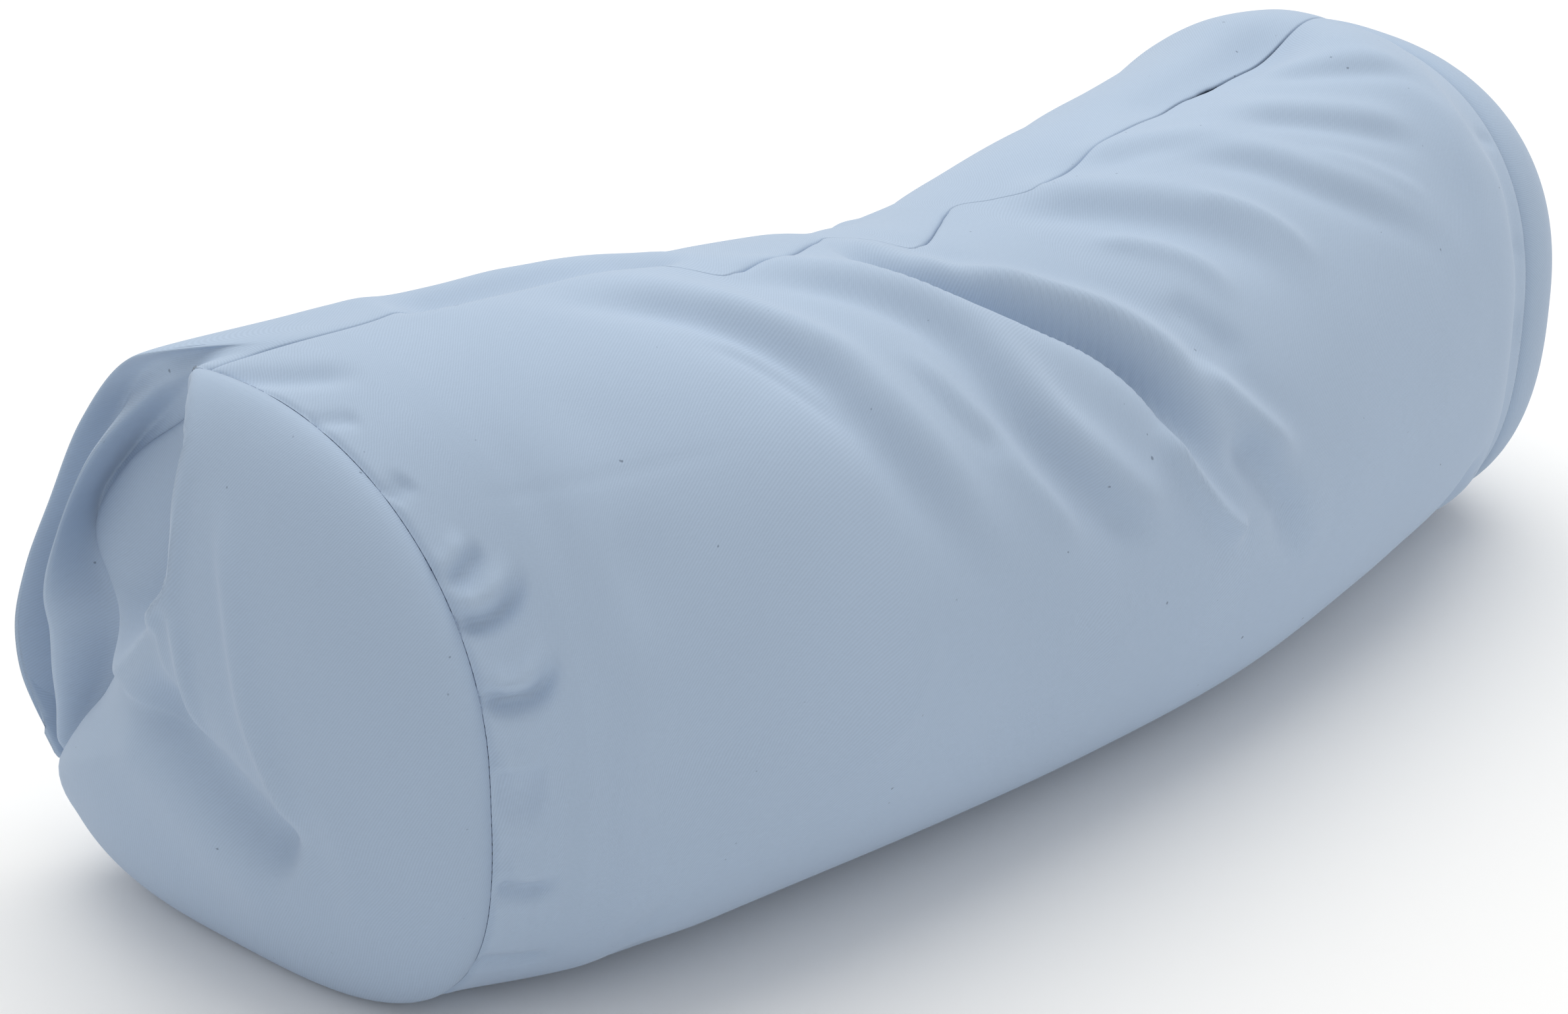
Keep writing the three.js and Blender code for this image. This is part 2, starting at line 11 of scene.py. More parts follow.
import bpy
import numpy as np
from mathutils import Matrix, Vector


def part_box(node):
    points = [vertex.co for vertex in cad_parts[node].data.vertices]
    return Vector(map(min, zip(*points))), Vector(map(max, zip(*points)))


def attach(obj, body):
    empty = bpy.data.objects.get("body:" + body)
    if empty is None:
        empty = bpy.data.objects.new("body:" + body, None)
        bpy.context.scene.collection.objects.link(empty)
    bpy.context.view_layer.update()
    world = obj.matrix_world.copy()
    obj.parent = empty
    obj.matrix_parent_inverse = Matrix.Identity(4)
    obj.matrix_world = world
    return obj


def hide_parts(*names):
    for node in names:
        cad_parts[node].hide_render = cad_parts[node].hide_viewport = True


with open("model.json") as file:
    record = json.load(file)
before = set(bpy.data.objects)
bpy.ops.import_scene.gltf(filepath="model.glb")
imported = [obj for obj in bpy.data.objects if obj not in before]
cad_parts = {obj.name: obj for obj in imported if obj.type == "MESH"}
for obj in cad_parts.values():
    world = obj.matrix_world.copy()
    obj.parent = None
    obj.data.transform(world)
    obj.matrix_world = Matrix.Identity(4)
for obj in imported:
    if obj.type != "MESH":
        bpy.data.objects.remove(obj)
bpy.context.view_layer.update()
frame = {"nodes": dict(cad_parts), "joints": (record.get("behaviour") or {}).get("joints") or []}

MM = 0.001


def corners(node):
    return [np.array(corner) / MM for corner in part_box(node)]


def joint(name):
    return next(j for j in frame["joints"] if j["name"] == name)


# ---- The pillow's main sizes ----

BODY_HALF_WIDTH = 79.0
BEND_X, BEND_Y = np.array(joint("zip_slide")["pos_m"][:2]) / MM
BEND_RADIUS = BEND_Y - corners("cover_body_panel")[0][1] - BODY_HALF_WIDTH
HALF_ARC = 203.2
CENTRE_HEIGHT = 73.5
LOWER_HEIGHT = 76.0
NEAR_TURN = 8.0
FAR_TURN = -5.0
GIRTH_PER_DEGREE = 1.33
CLOTH = 0.8

# The slider's place at the closed end of the zip, worked out from its tab's pivot. The far end of
# its run is the same distance from mid-length.
PIVOT = np.array(joint("tab_hinge")["pos_m"]) / MM
PIVOT_ABOVE_SEAM = 1.95
SLIDER_TO_ZIP_END = 6.7
SLIDER_ARC = BEND_RADIUS * abs(math.atan2(PIVOT[0] - BEND_X, BEND_Y - PIVOT[1]))
SLIDER_ACROSS = BEND_RADIUS - math.hypot(PIVOT[0] - BEND_X, BEND_Y - PIVOT[1])
SEAM_HEIGHT = PIVOT[2] - PIVOT_ABOVE_SEAM
ZIP_HALF_ARC = SLIDER_ARC + SLIDER_TO_ZIP_END

# Sizes of the section, each row evenly spaced from the near end seam to the far one. A power of 2
# makes half the section an ellipse, and a higher one makes it boxier.
HALF_WIDTHS = (78, 80, 81, 80, 78, 78, 78, 76, 73)
HEIGHTS = (149, 152, 154, 155.5, 156, 155, 152, 149, 146, 143, 141,
           142, 145, 148, 150, 151.5, 152.5, 154, 156.5, 152, 143)
SIDESTEPS = (0, -3, -5, -3, 0, 3, 6, 7, 7)
UPPER_POWERS = (2.1, 2.1, 2.1, 2.1, 2.1, 2.1, 2.1, 2.2, 2.4)
LOWER_POWERS = (3.2, 2.75, 2.3, 2.3, 2.5, 2.6, 2.4, 2.25, 2.6)
# Where the lengthwise seam lies, as (share of the half length, distance across the centre line).
SEAM_WANDER = (
    (-1, 7), (-0.85, 10), (-0.7, SLIDER_ACROSS), (-0.56, SLIDER_ACROSS), (-0.49, 9), (-0.44, 1),
    (-0.4, -7.8), (-0.38, -7), (-0.32, -2.5), (-0.26, 3), (-0.2, 9.5), (-0.165, 12), (-0.125, 6),
    (-0.095, -3), (-0.075, -2), (0, 8), (0.04, 13.5), (0.065, 15), (0.105, 9), (0.145, 2.2),
    (0.165, 2.4), (0.3, 6.5), (0.46, 11), (0.54, SLIDER_ACROSS), (0.66, SLIDER_ACROSS), (0.8, 12),
    (1, 9),
)
# How far the seam stands open, which is less where a fold presses it shut.
SEAM_OPEN = (
    (-1, 0.6), (-0.7, 0.5), (-0.62, 0.7), (-0.56, 0.7), (-0.48, 0.03), (-0.385, 0.03), (-0.365, 1),
    (-0.2, 1), (-0.18, 0.03), (-0.085, 0.03), (-0.065, 1), (0.035, 1), (0.055, 0.03),
    (0.155, 0.03), (0.175, 0.8), (0.45, 0.5), (0.53, 0.5), (0.57, 0.8), (0.62, 0.8), (0.66, 0.5),
    (1, 0.45),
)


# ---- Small numeric helpers ----

def smoothstep(low, high, x):
    t = np.clip((np.asarray(x, float) - low) / (high - low), 0, 1)
    return t * t * (3 - 2 * t)


def bell(x, width):
    return np.exp(-((np.asarray(x, float) / width) ** 2))


def lerp(a, b, t):
    return a + (b - a) * t


def centred(angle):
    """The same angle, as one from -180 to 180."""
    return (np.asarray(angle) + 180) % 360 - 180


def spline(x, knots, values, slopes=None):
    """A smooth curve through the values at the knots, flat beyond its ends. Values may be points."""
    x = np.asarray(x, float)
    knots = np.asarray(knots, float)
    values = np.asarray(values, float)
    if slopes is None:
        slopes = np.gradient(values, knots, axis=0)
    i = np.clip(np.searchsorted(knots, x, side="right") - 1, 0, len(knots) - 2)
    span = knots[i + 1] - knots[i]
    t = np.clip((x - knots[i]) / span, 0, 1)
    if values.ndim > 1:
        t, span = t[..., None], span[..., None]
    a, b = values[i], values[i + 1]
    return (
        (2 * t**3 - 3 * t**2 + 1) * a + (t**3 - 2 * t**2 + t) * span * slopes[i]
        + (3 * t**2 - 2 * t**3) * b + (t**3 - t**2) * span * slopes[i + 1]
    )


def station(arc, values):
    return spline(arc / HALF_ARC, np.linspace(-1, 1, len(values)), values)


def track(arc, table):
    """A curve through (share of the half length, value) pairs that never passes beyond them."""
    share, values = np.array(table, float).T
    rise = np.diff(values) / np.diff(share)
    before, after = rise[:-1], rise[1:]
    level = before * after <= 0
    middle = np.where(level, 0, 2 * before * after / np.where(level, 1, before + after))
    slopes = np.concatenate([rise[:1], middle, rise[-1:]])
    return spline(np.asarray(arc, float) / HALF_ARC, share, values, slopes)


def unit(vectors):
    return vectors / np.maximum(np.linalg.norm(vectors, axis=-1, keepdims=True), 1e-9)


def grid_normals(points):
    """Outward normals of a grid of points whose second axis runs from the crest towards +Y."""
    along = np.gradient(points, axis=0)
    around = np.gradient(points, axis=1)
    return unit(np.cross(along, around))


# ---- Folds: strokes drawn on the cloth ----

STROKE_STEPS = 4  # for each of a stroke's points
FAR_OFF = 1000.0  # the distance of places that a stroke doesn't reach
# Where a fold's ridge and lip stand and how wide they are, in widths of its groove.
RIDGE_OFF, RIDGE_WIDTH = 1.7, 1.3
LIP_OFF, LIP_WIDTH = 1.3, 1.1
FOLD_REACH = 5


def resample(points, count):
    points = np.asarray(points, float)
    steps = np.linalg.norm(np.diff(points, axis=0), axis=1)
    travelled = np.concatenate([[0], np.cumsum(steps)])
    return spline(np.linspace(0, travelled[-1], count), travelled, points)


def stroke(x, y, points, widest):
    """Signed distance of each place from a drawn line, positive on its left, and how far along."""
    line = resample(points, STROKE_STEPS * len(points))
    signed = np.full(x.shape, FAR_OFF)
    along = np.zeros(x.shape)
    near = (x > line[:, 0].min() - widest) & (x < line[:, 0].max() + widest)
    near &= (y > line[:, 1].min() - widest) & (y < line[:, 1].max() + widest)
    px, py = x[near], y[near]
    side, share = signed[near], along[near]
    found = np.full(px.shape, np.inf)
    for k in range(len(line) - 1):
        start, way = line[k], line[k + 1] - line[k]
        t = ((px - start[0]) * way[0] + (py - start[1]) * way[1]) / (way @ way)
        t = np.clip(t, 0, 1)
        dx, dy = px - start[0] - t * way[0], py - start[1] - t * way[1]
        distance = np.hypot(dx, dy)
        closer = distance < found
        turn = np.where(way[0] * dy - way[1] * dx >= 0, 1.0, -1.0)
        found = np.where(closer, distance, found)
        side = np.where(closer, distance * turn, side)
        share = np.where(closer, (k + t) / (len(line) - 1), share)
    signed[near], along[near] = side, share
    return signed, along


class Fold(NamedTuple):
    """A groove along a line of points, with a ridge on its left and a lip on its right. A negative
    depth makes it a raised fold. Where steep is below 1, the wall on the right is that much
    narrower. start and end are the shares of the line over which it fades."""

    points: tuple
    width: float
    depth: float
    ridge: float = 0.0
    lip: float = 0.0
    steep: float = 1.0
    start: float = 0.25
    end: float = 0.35


def fold_height(x, y, line, fold):
    width = fold.width
    signed, along = stroke(x, y, line, FOLD_REACH * width)
    fade = smoothstep(0, fold.start, along) * smoothstep(0, fold.end, 1 - along)
    groove = fold.depth * bell(signed, np.where(signed < 0, fold.steep, 1.0) * width)
    ridge = fold.ridge * bell(signed - RIDGE_OFF * width, RIDGE_WIDTH * width)
    lip = fold.lip * bell(signed + LIP_OFF * width, LIP_WIDTH * width)
    return fade * (ridge - groove + lip)


# Folds of the body: points are (share of the half length, angle), sizes are in mm.
BODY_FOLDS = (
    # The deep fold that runs from the kink at the top down the taut side, and its far ridge.
    Fold(((-0.2, 8), (-0.165, -12), (-0.08, -27), (-0.005, -40), (0.03, -51), (0.055, -63),
          (0.09, -76)), 5.4, 10.5, ridge=5.0, lip=2.4, steep=0.6),
    Fold(((-0.18, 4), (-0.13, -10), (-0.05, -20)), 12, 3.5, start=0.4, end=0.4),
    # Ridges and the valley in which it ends.
    Fold(((0.01, -58), (0.04, -72), (0.075, -81), (0.13, -90)), 3.4, -4.2, end=0.12),
    Fold(((0.1, -50), (0.15, -64), (0.24, -82)), 4, -3.4),
    Fold(((0.11, -66), (0.19, -85), (0.27, -100)), 4.6, 3.8),
    # Folds of the near half.
    Fold(((-0.66, 0), (-0.5, -13), (-0.42, -28), (-0.38, -42), (-0.33, -63), (-0.27, -82)), 5.6,
          3.4, ridge=1.9),
    Fold(((-0.43, -2), (-0.28, -12), (-0.21, -28), (-0.17, -52), (-0.11, -68), (-0.03, -84)), 5.2,
          3.2, ridge=2.4, end=0.12),
    Fold(((-0.24, -50), (-0.19, -64), (-0.14, -78)), 3.6, -2.0),
    Fold(((-0.5, -8), (-0.4, -22), (-0.33, -34)), 6, -1.6),
    Fold(((-0.52, -20), (-0.46, -30), (-0.41, -44)), 2.4, 0.9, ridge=0.6),
    Fold(((-0.3, -30), (-0.26, -46), (-0.2, -62)), 2.6, 1.0, ridge=0.8),
    # Folds of the far half.
    Fold(((0.06, 2), (0.136, -9), (0.198, -19), (0.26, -30), (0.3, -41), (0.33, -54)), 6.0, 2.4,
          ridge=2.6, end=0.4),
    Fold(((0.1, -16), (0.16, -25), (0.2, -34), (0.22, -47)), 3.6, -2.2),
    Fold(((0.12, -36), (0.155, -47), (0.19, -58)), 3.6, 1.6),
    Fold(((0.3, -8), (0.4, -22), (0.47, -36), (0.56, -50), (0.66, -64)), 4.6, 1.9, ridge=1.9,
          end=0.45),
    Fold(((0.27, -20), (0.34, -34), (0.39, -50)), 2.8, -1.2),
    Fold(((0.46, -10), (0.58, -24), (0.72, -42)), 4.2, 1.8, ridge=1.6),
    Fold(((0.5, -26), (0.58, -38), (0.66, -52)), 2.6, -0.9),
    Fold(((0.6, -4), (0.7, -14), (0.84, -30)), 4.0, 1.5, ridge=1.2),
    Fold(((0.22, -1), (0.34, -8), (0.46, -20)), 4.0, 1.2, ridge=1.0),
    # Faint pressed creases.
    Fold(((-0.93, -42), (-0.7, -43), (-0.5, -43)), 1.6, 0.25),
    Fold(((-0.37, -75), (-0.38, -90), (-0.57, -107)), 1.8, -0.4),
    # Cloth that bulges behind the zip, towards the hollow side.
    Fold(((-1.1, 20), (-0.9, 21), (-0.75, 21), (-0.55, 22), (-0.42, 20)), 8, -1.6, start=0.04,
          end=0.3),
    # Tucks at the near end seam.
    Fold(((-1.02, 4), (-0.96, -5), (-0.89, -10)), 5, 2.2, start=0.1),
    Fold(((-1.0, -18), (-0.95, -21)), 2.6, 1.0, start=0.05),
    Fold(((-1.0, -38), (-0.96, -35)), 2.6, 1.4, start=0.25),
    Fold(((-1.0, -56), (-0.97, -54), (-0.93, -49)), 2.2, 2.4, ridge=1.4, start=0.35),
    Fold(((-1.01, -61.5), (-0.97, -62.8), (-0.945, -61.8), (-0.915, -59), (-0.885, -54)), 2.6, 4.2,
          ridge=2.8, start=0.22, end=0.5),
    Fold(((-1.01, -75), (-0.957, -77.2), (-0.93, -76.4), (-0.905, -74), (-0.875, -69)), 2.6, 4.2,
          ridge=2.6, start=0.22, end=0.5),
    Fold(((-1.0, -90), (-0.96, -91), (-0.92, -89)), 2.4, 2.4, ridge=1.5, start=0.2, end=0.5),
    Fold(((-1.0, -101.5), (-0.955, -104), (-0.9, -103)), 2.6, 3.0, ridge=1.8, start=0.2, end=0.5),
    Fold(((-1.0, -122), (-0.93, -125), (-0.88, -124)), 3, 1.8, start=0.05),
    Fold(((-1.0, -146), (-0.9, -152)), 4, 2.4, start=0.05),
    # Tucks at the far end seam.
    Fold(((1.0, -47), (0.93, -44)), 2.8, 0.7, start=0.3),
    Fold(((1.0, -76), (0.94, -72)), 2.8, 0.8, start=0.3),
    Fold(((1.0, -90), (0.92, -88)), 3.0, 0.9, start=0.3),
    # Folds of the hollow back, which the bend presses together.
    Fold(((-0.12, 32), (-0.06, 52), (-0.02, 75), (0.02, 100), (0.04, 125)), 6, 6.5, ridge=4.2,
          lip=1.5, steep=0.7, end=0.45),
    Fold(((0.1, 36), (0.16, 60), (0.2, 88)), 5.5, 3.6, ridge=2.6),
    Fold(((-0.3, 40), (-0.24, 66), (-0.22, 98)), 6, 3.6, ridge=2.6),
    Fold(((-0.55, 46), (-0.48, 76), (-0.5, 104)), 6, 2.4, ridge=1.8),
    Fold(((0.42, 40), (0.46, 72), (0.5, 100)), 6, 2.4, ridge=1.8),
    Fold(((0.95, 40), (0.84, 46), (0.72, 50)), 4, 1.8, ridge=1.0, start=0.05),
    Fold(((0.98, 84), (0.86, 82), (0.76, 84)), 4, 2.2, ridge=1.0, start=0.05),
)


def angle_at(arc, across):
    """The angle round the section at a distance across the centre line, on the upper side."""
    reach = (across - station(arc, SIDESTEPS)) / station(arc, HALF_WIDTHS)
    sine = np.sign(reach) * np.abs(reach) ** (station(arc, UPPER_POWERS) / 2)
    return np.degrees(np.arcsin(sine))


def seam_angle(arc):
    arc = np.asarray(arc, float)
    return angle_at(arc, track(arc, SEAM_WANDER))


# ---- The cover's surface ----

SWING_START = 0.63  # share of the half length from which the sections swing
NORMAL_STEP = 0.5  # in mm and in degrees
# The valleys in which the slider and its tab stand at the two ends of their run. A floor is level
# as far as the first distance along the seam from the slider's place, and ends at the second.
NEAR_VALLEY = (24, 40)
FAR_VALLEY = (23, 60)
FRONT_WALL, FRONT_POWER = 8, 6
BACK_WALL_START = 6
VALLEY_WALL = 12


def heading(arc):
    """The way a section faces, in radians: square to the bend, and swung at the ends."""
    past = smoothstep(SWING_START, 1.0, np.abs(arc) / HALF_ARC)
    end = np.radians(np.where(arc < 0, NEAR_TURN, FAR_TURN))
    return lerp(arc / BEND_RADIUS, end, past)


def section(arc, angle):
    """Across and up in the section, before folds."""
    half_width = station(arc, HALF_WIDTHS)
    upper = station(arc, HEIGHTS) - CENTRE_HEIGHT
    sine, cosine = np.sin(np.radians(angle)), np.cos(np.radians(angle))
    power = 2 / np.where(cosine > 0, station(arc, UPPER_POWERS), station(arc, LOWER_POWERS))
    across = half_width * np.sign(sine) * np.abs(sine) ** power
    rise = np.where(cosine > 0, upper, LOWER_HEIGHT)
    up = CENTRE_HEIGHT + rise * np.sign(cosine) * np.abs(cosine) ** power
    return across + station(arc, SIDESTEPS), up


def placed(arc, across, up, beyond=0.0):
    turn = arc / BEND_RADIUS
    facing = heading(arc)
    x = BEND_X + BEND_RADIUS * np.sin(turn) - across * np.sin(facing) + beyond * np.cos(facing)
    y = BEND_Y - BEND_RADIUS * np.cos(turn) + across * np.cos(facing) + beyond * np.sin(facing)
    return np.stack([x, y, up + 0 * x], axis=-1)


def plain_point(arc, angle):
    return placed(arc, *section(arc, angle))


def relief(arc, angle):
    """How far the folds lift the cloth off its plain shape."""
    angle = centred(angle)
    girth = angle * GIRTH_PER_DEGREE
    height = np.zeros(np.broadcast(arc, angle).shape)
    arc = arc + 0 * height
    girth = girth + 0 * height
    for fold in BODY_FOLDS:
        line = [(share * HALF_ARC, a * GIRTH_PER_DEGREE) for share, a in fold.points]
        height += fold_height(arc, girth, line, fold)
    return height + buckles(arc, angle)


def zip_valley(arc, angle):
    """1 where the cloth lies down at the zip's level, which is where the slider and its tab may
    stand, and 0 away from there. The cloth in front of the near valley hides it."""
    off = np.abs(np.abs(arc) - SLIDER_ARC)
    along = 1 - np.where(arc < 0, smoothstep(*NEAR_VALLEY, off), smoothstep(*FAR_VALLEY, off))
    across = section(arc, angle)[0] - SLIDER_ACROSS
    front = np.exp(-((across / FRONT_WALL) ** FRONT_POWER))
    behind = bell(np.maximum(across - BACK_WALL_START, 0), VALLEY_WALL)
    near = np.where(across < 0, front, behind)
    walls = np.where(arc < 0, near, bell(across, VALLEY_WALL))
    return along * walls * (np.cos(np.radians(angle)) > 0)


def cover_point(arc, angle, depth=0.0):
    """A point of the cover, or one at a depth below it."""
    arc, angle = np.broadcast_arrays(np.asarray(arc, float), np.asarray(angle, float))
    base = plain_point(arc, angle)
    along = plain_point(arc + NORMAL_STEP, angle) - base
    around = plain_point(arc, angle + NORMAL_STEP) - base
    valley = zip_valley(arc, angle)
    normal = unit(lerp(unit(np.cross(along, around)), np.array([0, 0, 1.0]), valley[..., None]))
    height = relief(arc, angle) - depth
    point = base + height[..., None] * normal
    point[..., 2] = lerp(point[..., 2], SEAM_HEIGHT - depth, valley)
    point[..., 2] = np.maximum(point[..., 2], depth)
    return point


# ---- The near end: slack cloth rolls past the seam and back in to it ----

# Rows of the net, in the end seam's own plane: (across, up from the centre, out of the pillow),
# at these angles. Cloth runs from the body over the roll, into the crease, over the inner ridge
# and down the pocket to the seam.
NET_ANGLES = (8, 25, 45, 65, 80, 92, 102, 112, 122, 134)
ROLL = ((13, 78, 2), (34, 71, 2), (61, 46, -3), (72, 22, 1), (76, 5, 7), (77, -9, 11),
        (77, -22, 11), (75, -34, 9), (72, -46, 6), (68, -56, 6))
CREASE = ((13, 77, -1), (33, 68, -3), (55, 45, -9), (66, 20, -5), (69, 4, -4), (70, -9, -2),
          (71, -21, 0), (72, -32, 2), (72, -44, 4), (68, -55, 7))
INNER_RIDGE = ((12, 73, 0), (30, 64, -3), (46, 45, 6), (57, 21, 11), (60, 6, 14), (59, -5, 14),
               (61, -16, 13), (65, -28, 10), (69, -40, 8), (67, -54, 8))
POCKET = ((11, 73, 0), (27, 61, -7), (46, 43, -7), (56, 25, -1), (54, 10, 2), (46, -1, 3),
          (50, -14, 4), (58, -28, 5), (66, -42, 7), (67, -53, 8))
NEAR_SEAM = ((9, 74, 0), (24, 58, -7), (45, 41, -5), (56, 22, -1), (50, 11, 1), (36, 0, 3),
             (43, -14, 3), (54, -27, 4), (62, -39, 6), (67, -52, 8))
# How far along the net's stretch its guides lie: two on the body, then the five rows in order.
NET_SHARES = (-0.12, 0, 0.36, 0.52, 0.68, 0.86, 1)
BEFORE_NET = 8.0
NET_FADE_IN = (5, 20)
NET_FADE_OUT = 12
SEAM_PUSH = 1.0
SEAM_PUSH_ANGLE = 136.0
SEAM_PUSH_WIDTH = 34.0
END_ZONE = 30.0


def pocket_share(angle):
    """1 where the near end's cloth follows the net, 0 where it runs straight to the seam."""
    angle = centred(angle)
    return smoothstep(*NET_FADE_IN, angle) * smoothstep(0, NET_FADE_OUT, NET_ANGLES[-1] - angle)


def near_place(points):
    """Points of the net, moved into the frame."""
    points = np.asarray(points, float)
    arc = np.full(points.shape[:-1], -HALF_ARC)
    return placed(arc, points[..., 0], CENTRE_HEIGHT + points[..., 1], -points[..., 2])


def seam_push(angle):
    """How far the filling pushes the near end seam out of its plane."""
    return SEAM_PUSH * bell(centred(angle - SEAM_PUSH_ANGLE), SEAM_PUSH_WIDTH)


def near_seam_plane(angle):
    """The near end seam as (across, up from the centre, out), in the end seam's plane."""
    angle = centred(angle)
    across, up = section(np.full(angle.shape, -HALF_ARC), angle)
    plain = np.stack([across, up - CENTRE_HEIGHT, seam_push(angle)], axis=-1)
    net = spline(angle, NET_ANGLES, NEAR_SEAM)
    return lerp(plain, net, pocket_share(angle)[..., None])


def near_seam(angle):
    return near_place(near_seam_plane(angle))


def far_seam(angle):
    return plain_point(np.full(np.shape(angle), HALF_ARC), angle)


def near_cloth(share, angle):
    """The body panel's last stretch before the near seam: share runs from 0 to 1 at the seam."""
    arc = -HALF_ARC + END_ZONE * (1 - share)
    straight = cover_point(arc[:, None], angle[None, :])
    push = seam_push(angle)[None, :] * share[:, None] ** 2
    facing = math.radians(NEAR_TURN)
    straight -= push[..., None] * np.array([math.cos(facing), math.sin(facing), 0])
    rows = (ROLL, CREASE, INNER_RIDGE, POCKET, NEAR_SEAM)
    guides = [near_place(spline(centred(angle), NET_ANGLES, row)) for row in rows]
    before = cover_point(-HALF_ARC + END_ZONE + BEFORE_NET, angle)
    start = cover_point(-HALF_ARC + END_ZONE, angle)
    net = np.stack([before, start, *guides])
    netted = np.stack([spline(share, NET_SHARES, net[:, k]) for k in range(len(angle))], axis=1)
    return lerp(straight, netted, pocket_share(angle)[None, :, None])


# ---- The end panels ----

DOMES = {-1: 28.5, 1: 36.0}
DOME_POWERS = {-1: 1.9, 1: 2.5}
POLE = np.array([-6.0, -5.0])
# The pleat that hangs from the seam's corner and hides the sunken lobe behind it.
PLEAT = ((9, 76), (0, 64), (-2, 52), (-3, 42), (-3, 34), (3, 26), (8, 18), (18, 6), (30, -4),
         (44, -13))
PANEL_FOLDS = (
    Fold(((7, 76), (-1, 63), (-2, 52), (-3, 42), (-3, 34), (2, 26), (7, 18)), 2.6, -2.4, start=0.05,
          end=0.1),
    Fold(((-1, 33), (-6, 25), (-9, 14), (-11, 3), (-15, -10)), 2.6, -2.2),
    Fold(((-13, 60), (-17, 52), (-22, 40), (-26, 25), (-30, 10), (-36, -5), (-41, -22)), 3.4, -2.8,
          end=0.15),
    Fold(((10, 8), (-2, -2), (-14, -11), (-27, -20), (-40, -28)), 9, 7.5, ridge=1.5, start=0.2,
          end=0.15),
    Fold(((-46, -2), (-52, -16), (-54, -34), (-50, -46)), 4.5, -1.4),
)
LOBE_BULGE = 7.0
# How softly the cloth goes back behind the pleat, and how much more softly at its foot.
PLEAT_SOFTNESS, FOOT_SOFTNESS = 6, 22
PLEAT_LEAD = 0.08
PLEAT_REACH = 80
# A slight fullness of each panel: its middle (across, up) and how wide it is.
PUFF = 1.0
PUFFS = {-1: ((22, -38), 24), 1: ((15, -20), 30)}


def panel_depth(side, across, up, share, seam_out):
    """How far an end panel stands out of its seam's plane."""
    out = seam_out * share**2 + DOMES[side] * (1 - share ** DOME_POWERS[side]) ** 0.5
    middle, wide = PUFFS[side]
    puff = PUFF * bell(np.hypot(across - middle[0], up - middle[1]), wide)
    if side > 0:
        return out + puff
    signed, along = stroke(across, up, PLEAT, PLEAT_REACH)
    soft = PLEAT_SOFTNESS + FOOT_SOFTNESS * smoothstep(0.5, 1.0, along)
    behind = smoothstep(0, 1, signed / soft + PLEAT_LEAD) * (signed < PLEAT_REACH - 1)
    lobe = seam_out * share + LOBE_BULGE * (1 - share**2) ** 0.5
    out = lerp(out, np.minimum(lobe, out), behind) + puff
    for fold in PANEL_FOLDS:
        out = out + (1 - share**8) * fold_height(across, up, fold.points, fold)
    return out


def panel_point(side, share, angle, depth=0.0):
    """A point of an end panel: share runs from 0 at its middle to 1 at the end seam."""
    share, angle = np.broadcast_arrays(np.asarray(share, float), np.asarray(angle, float))
    if side < 0:
        seam = near_seam_plane(angle)
    else:
        across, up = section(np.full(angle.shape, HALF_ARC), angle)
        seam = np.stack([across, up - CENTRE_HEIGHT, 0 * across], axis=-1)
    across = lerp(POLE[0], seam[..., 0], share)
    up = lerp(POLE[1], seam[..., 1], share)
    out = panel_depth(side, across, up, share, seam[..., 2]) - depth
    arc = np.full(share.shape, side * HALF_ARC)
    point = placed(arc, across, CENTRE_HEIGHT + up, side * out)
    point[..., 2] = np.maximum(point[..., 2], depth)
    return point, across, up


# ---- Cloth simulation ----

SETTLE_STEP = 4.0
SETTLE_ANGLE = 3.0
SETTLE_CAP = 1.4
SETTLE_FRAMES = 20
SETTLE_CLOTH = dict(quality=6, mass=0.12, tension_stiffness=25, compression_stiffness=25,
                    shear_stiffness=10, bending_stiffness=0.4, shrink_min=-0.05,
                    vertex_group_mass="pins", use_pressure=True, uniform_pressure_force=4)
BROAD_PASSES = 40
# The buckles fade towards the near net and the far seam, in mm, and towards the floor, in degrees.
# At the crest they keep a share of their height.
NEAR_FADE, FAR_FADE = 25, 10
CREST_SHARE, CREST_FADE = 0.3, (15, 45)
FLOOR_ANGLE, FLOOR_FADE = 150, 30
BUCKLES = {}


def buckles(arc, angle):
    """The small buckles of the simulated cover, as a smooth height over arc and angle."""
    if not BUCKLES:
        return 0.0
    field = BUCKLES["height"]
    row = (arc - BUCKLES["start"]) / BUCKLES["step"]
    column = (angle % 360) / SETTLE_ANGLE
    total = np.zeros(np.shape(arc))
    first_row, first_column = np.floor(row).astype(int), np.floor(column).astype(int)
    for i, row_weight in enumerate(curve_weights(row - first_row)):
        rows = np.clip(first_row + i - 1, 0, len(field) - 1)
        for j, column_weight in enumerate(curve_weights(column - first_column)):
            columns = (first_column + j - 1) % field.shape[1]
            total += row_weight * column_weight * field[rows, columns]
    return total


def curve_weights(t):
    """The four weights of a smooth cubic curve between samples."""
    return (
        (1 - t) ** 3 / 6, (3 * t**3 - 6 * t**2 + 4) / 6, (-3 * t**3 + 3 * t**2 + 3 * t + 1) / 6,
        t**3 / 6,
    )


def blurred(field, passes):
    """The field with each place averaged with its neighbours, round the section and along it."""
    for _ in range(passes):
        field = (np.roll(field, 1, axis=1) + 2 * field + np.roll(field, -1, axis=1)) / 4
        padded = np.pad(field, ((1, 1), (0, 0)), mode="edge")
        field = (padded[:-2] + 2 * padded[1:-1] + padded[2:]) / 4
    return field


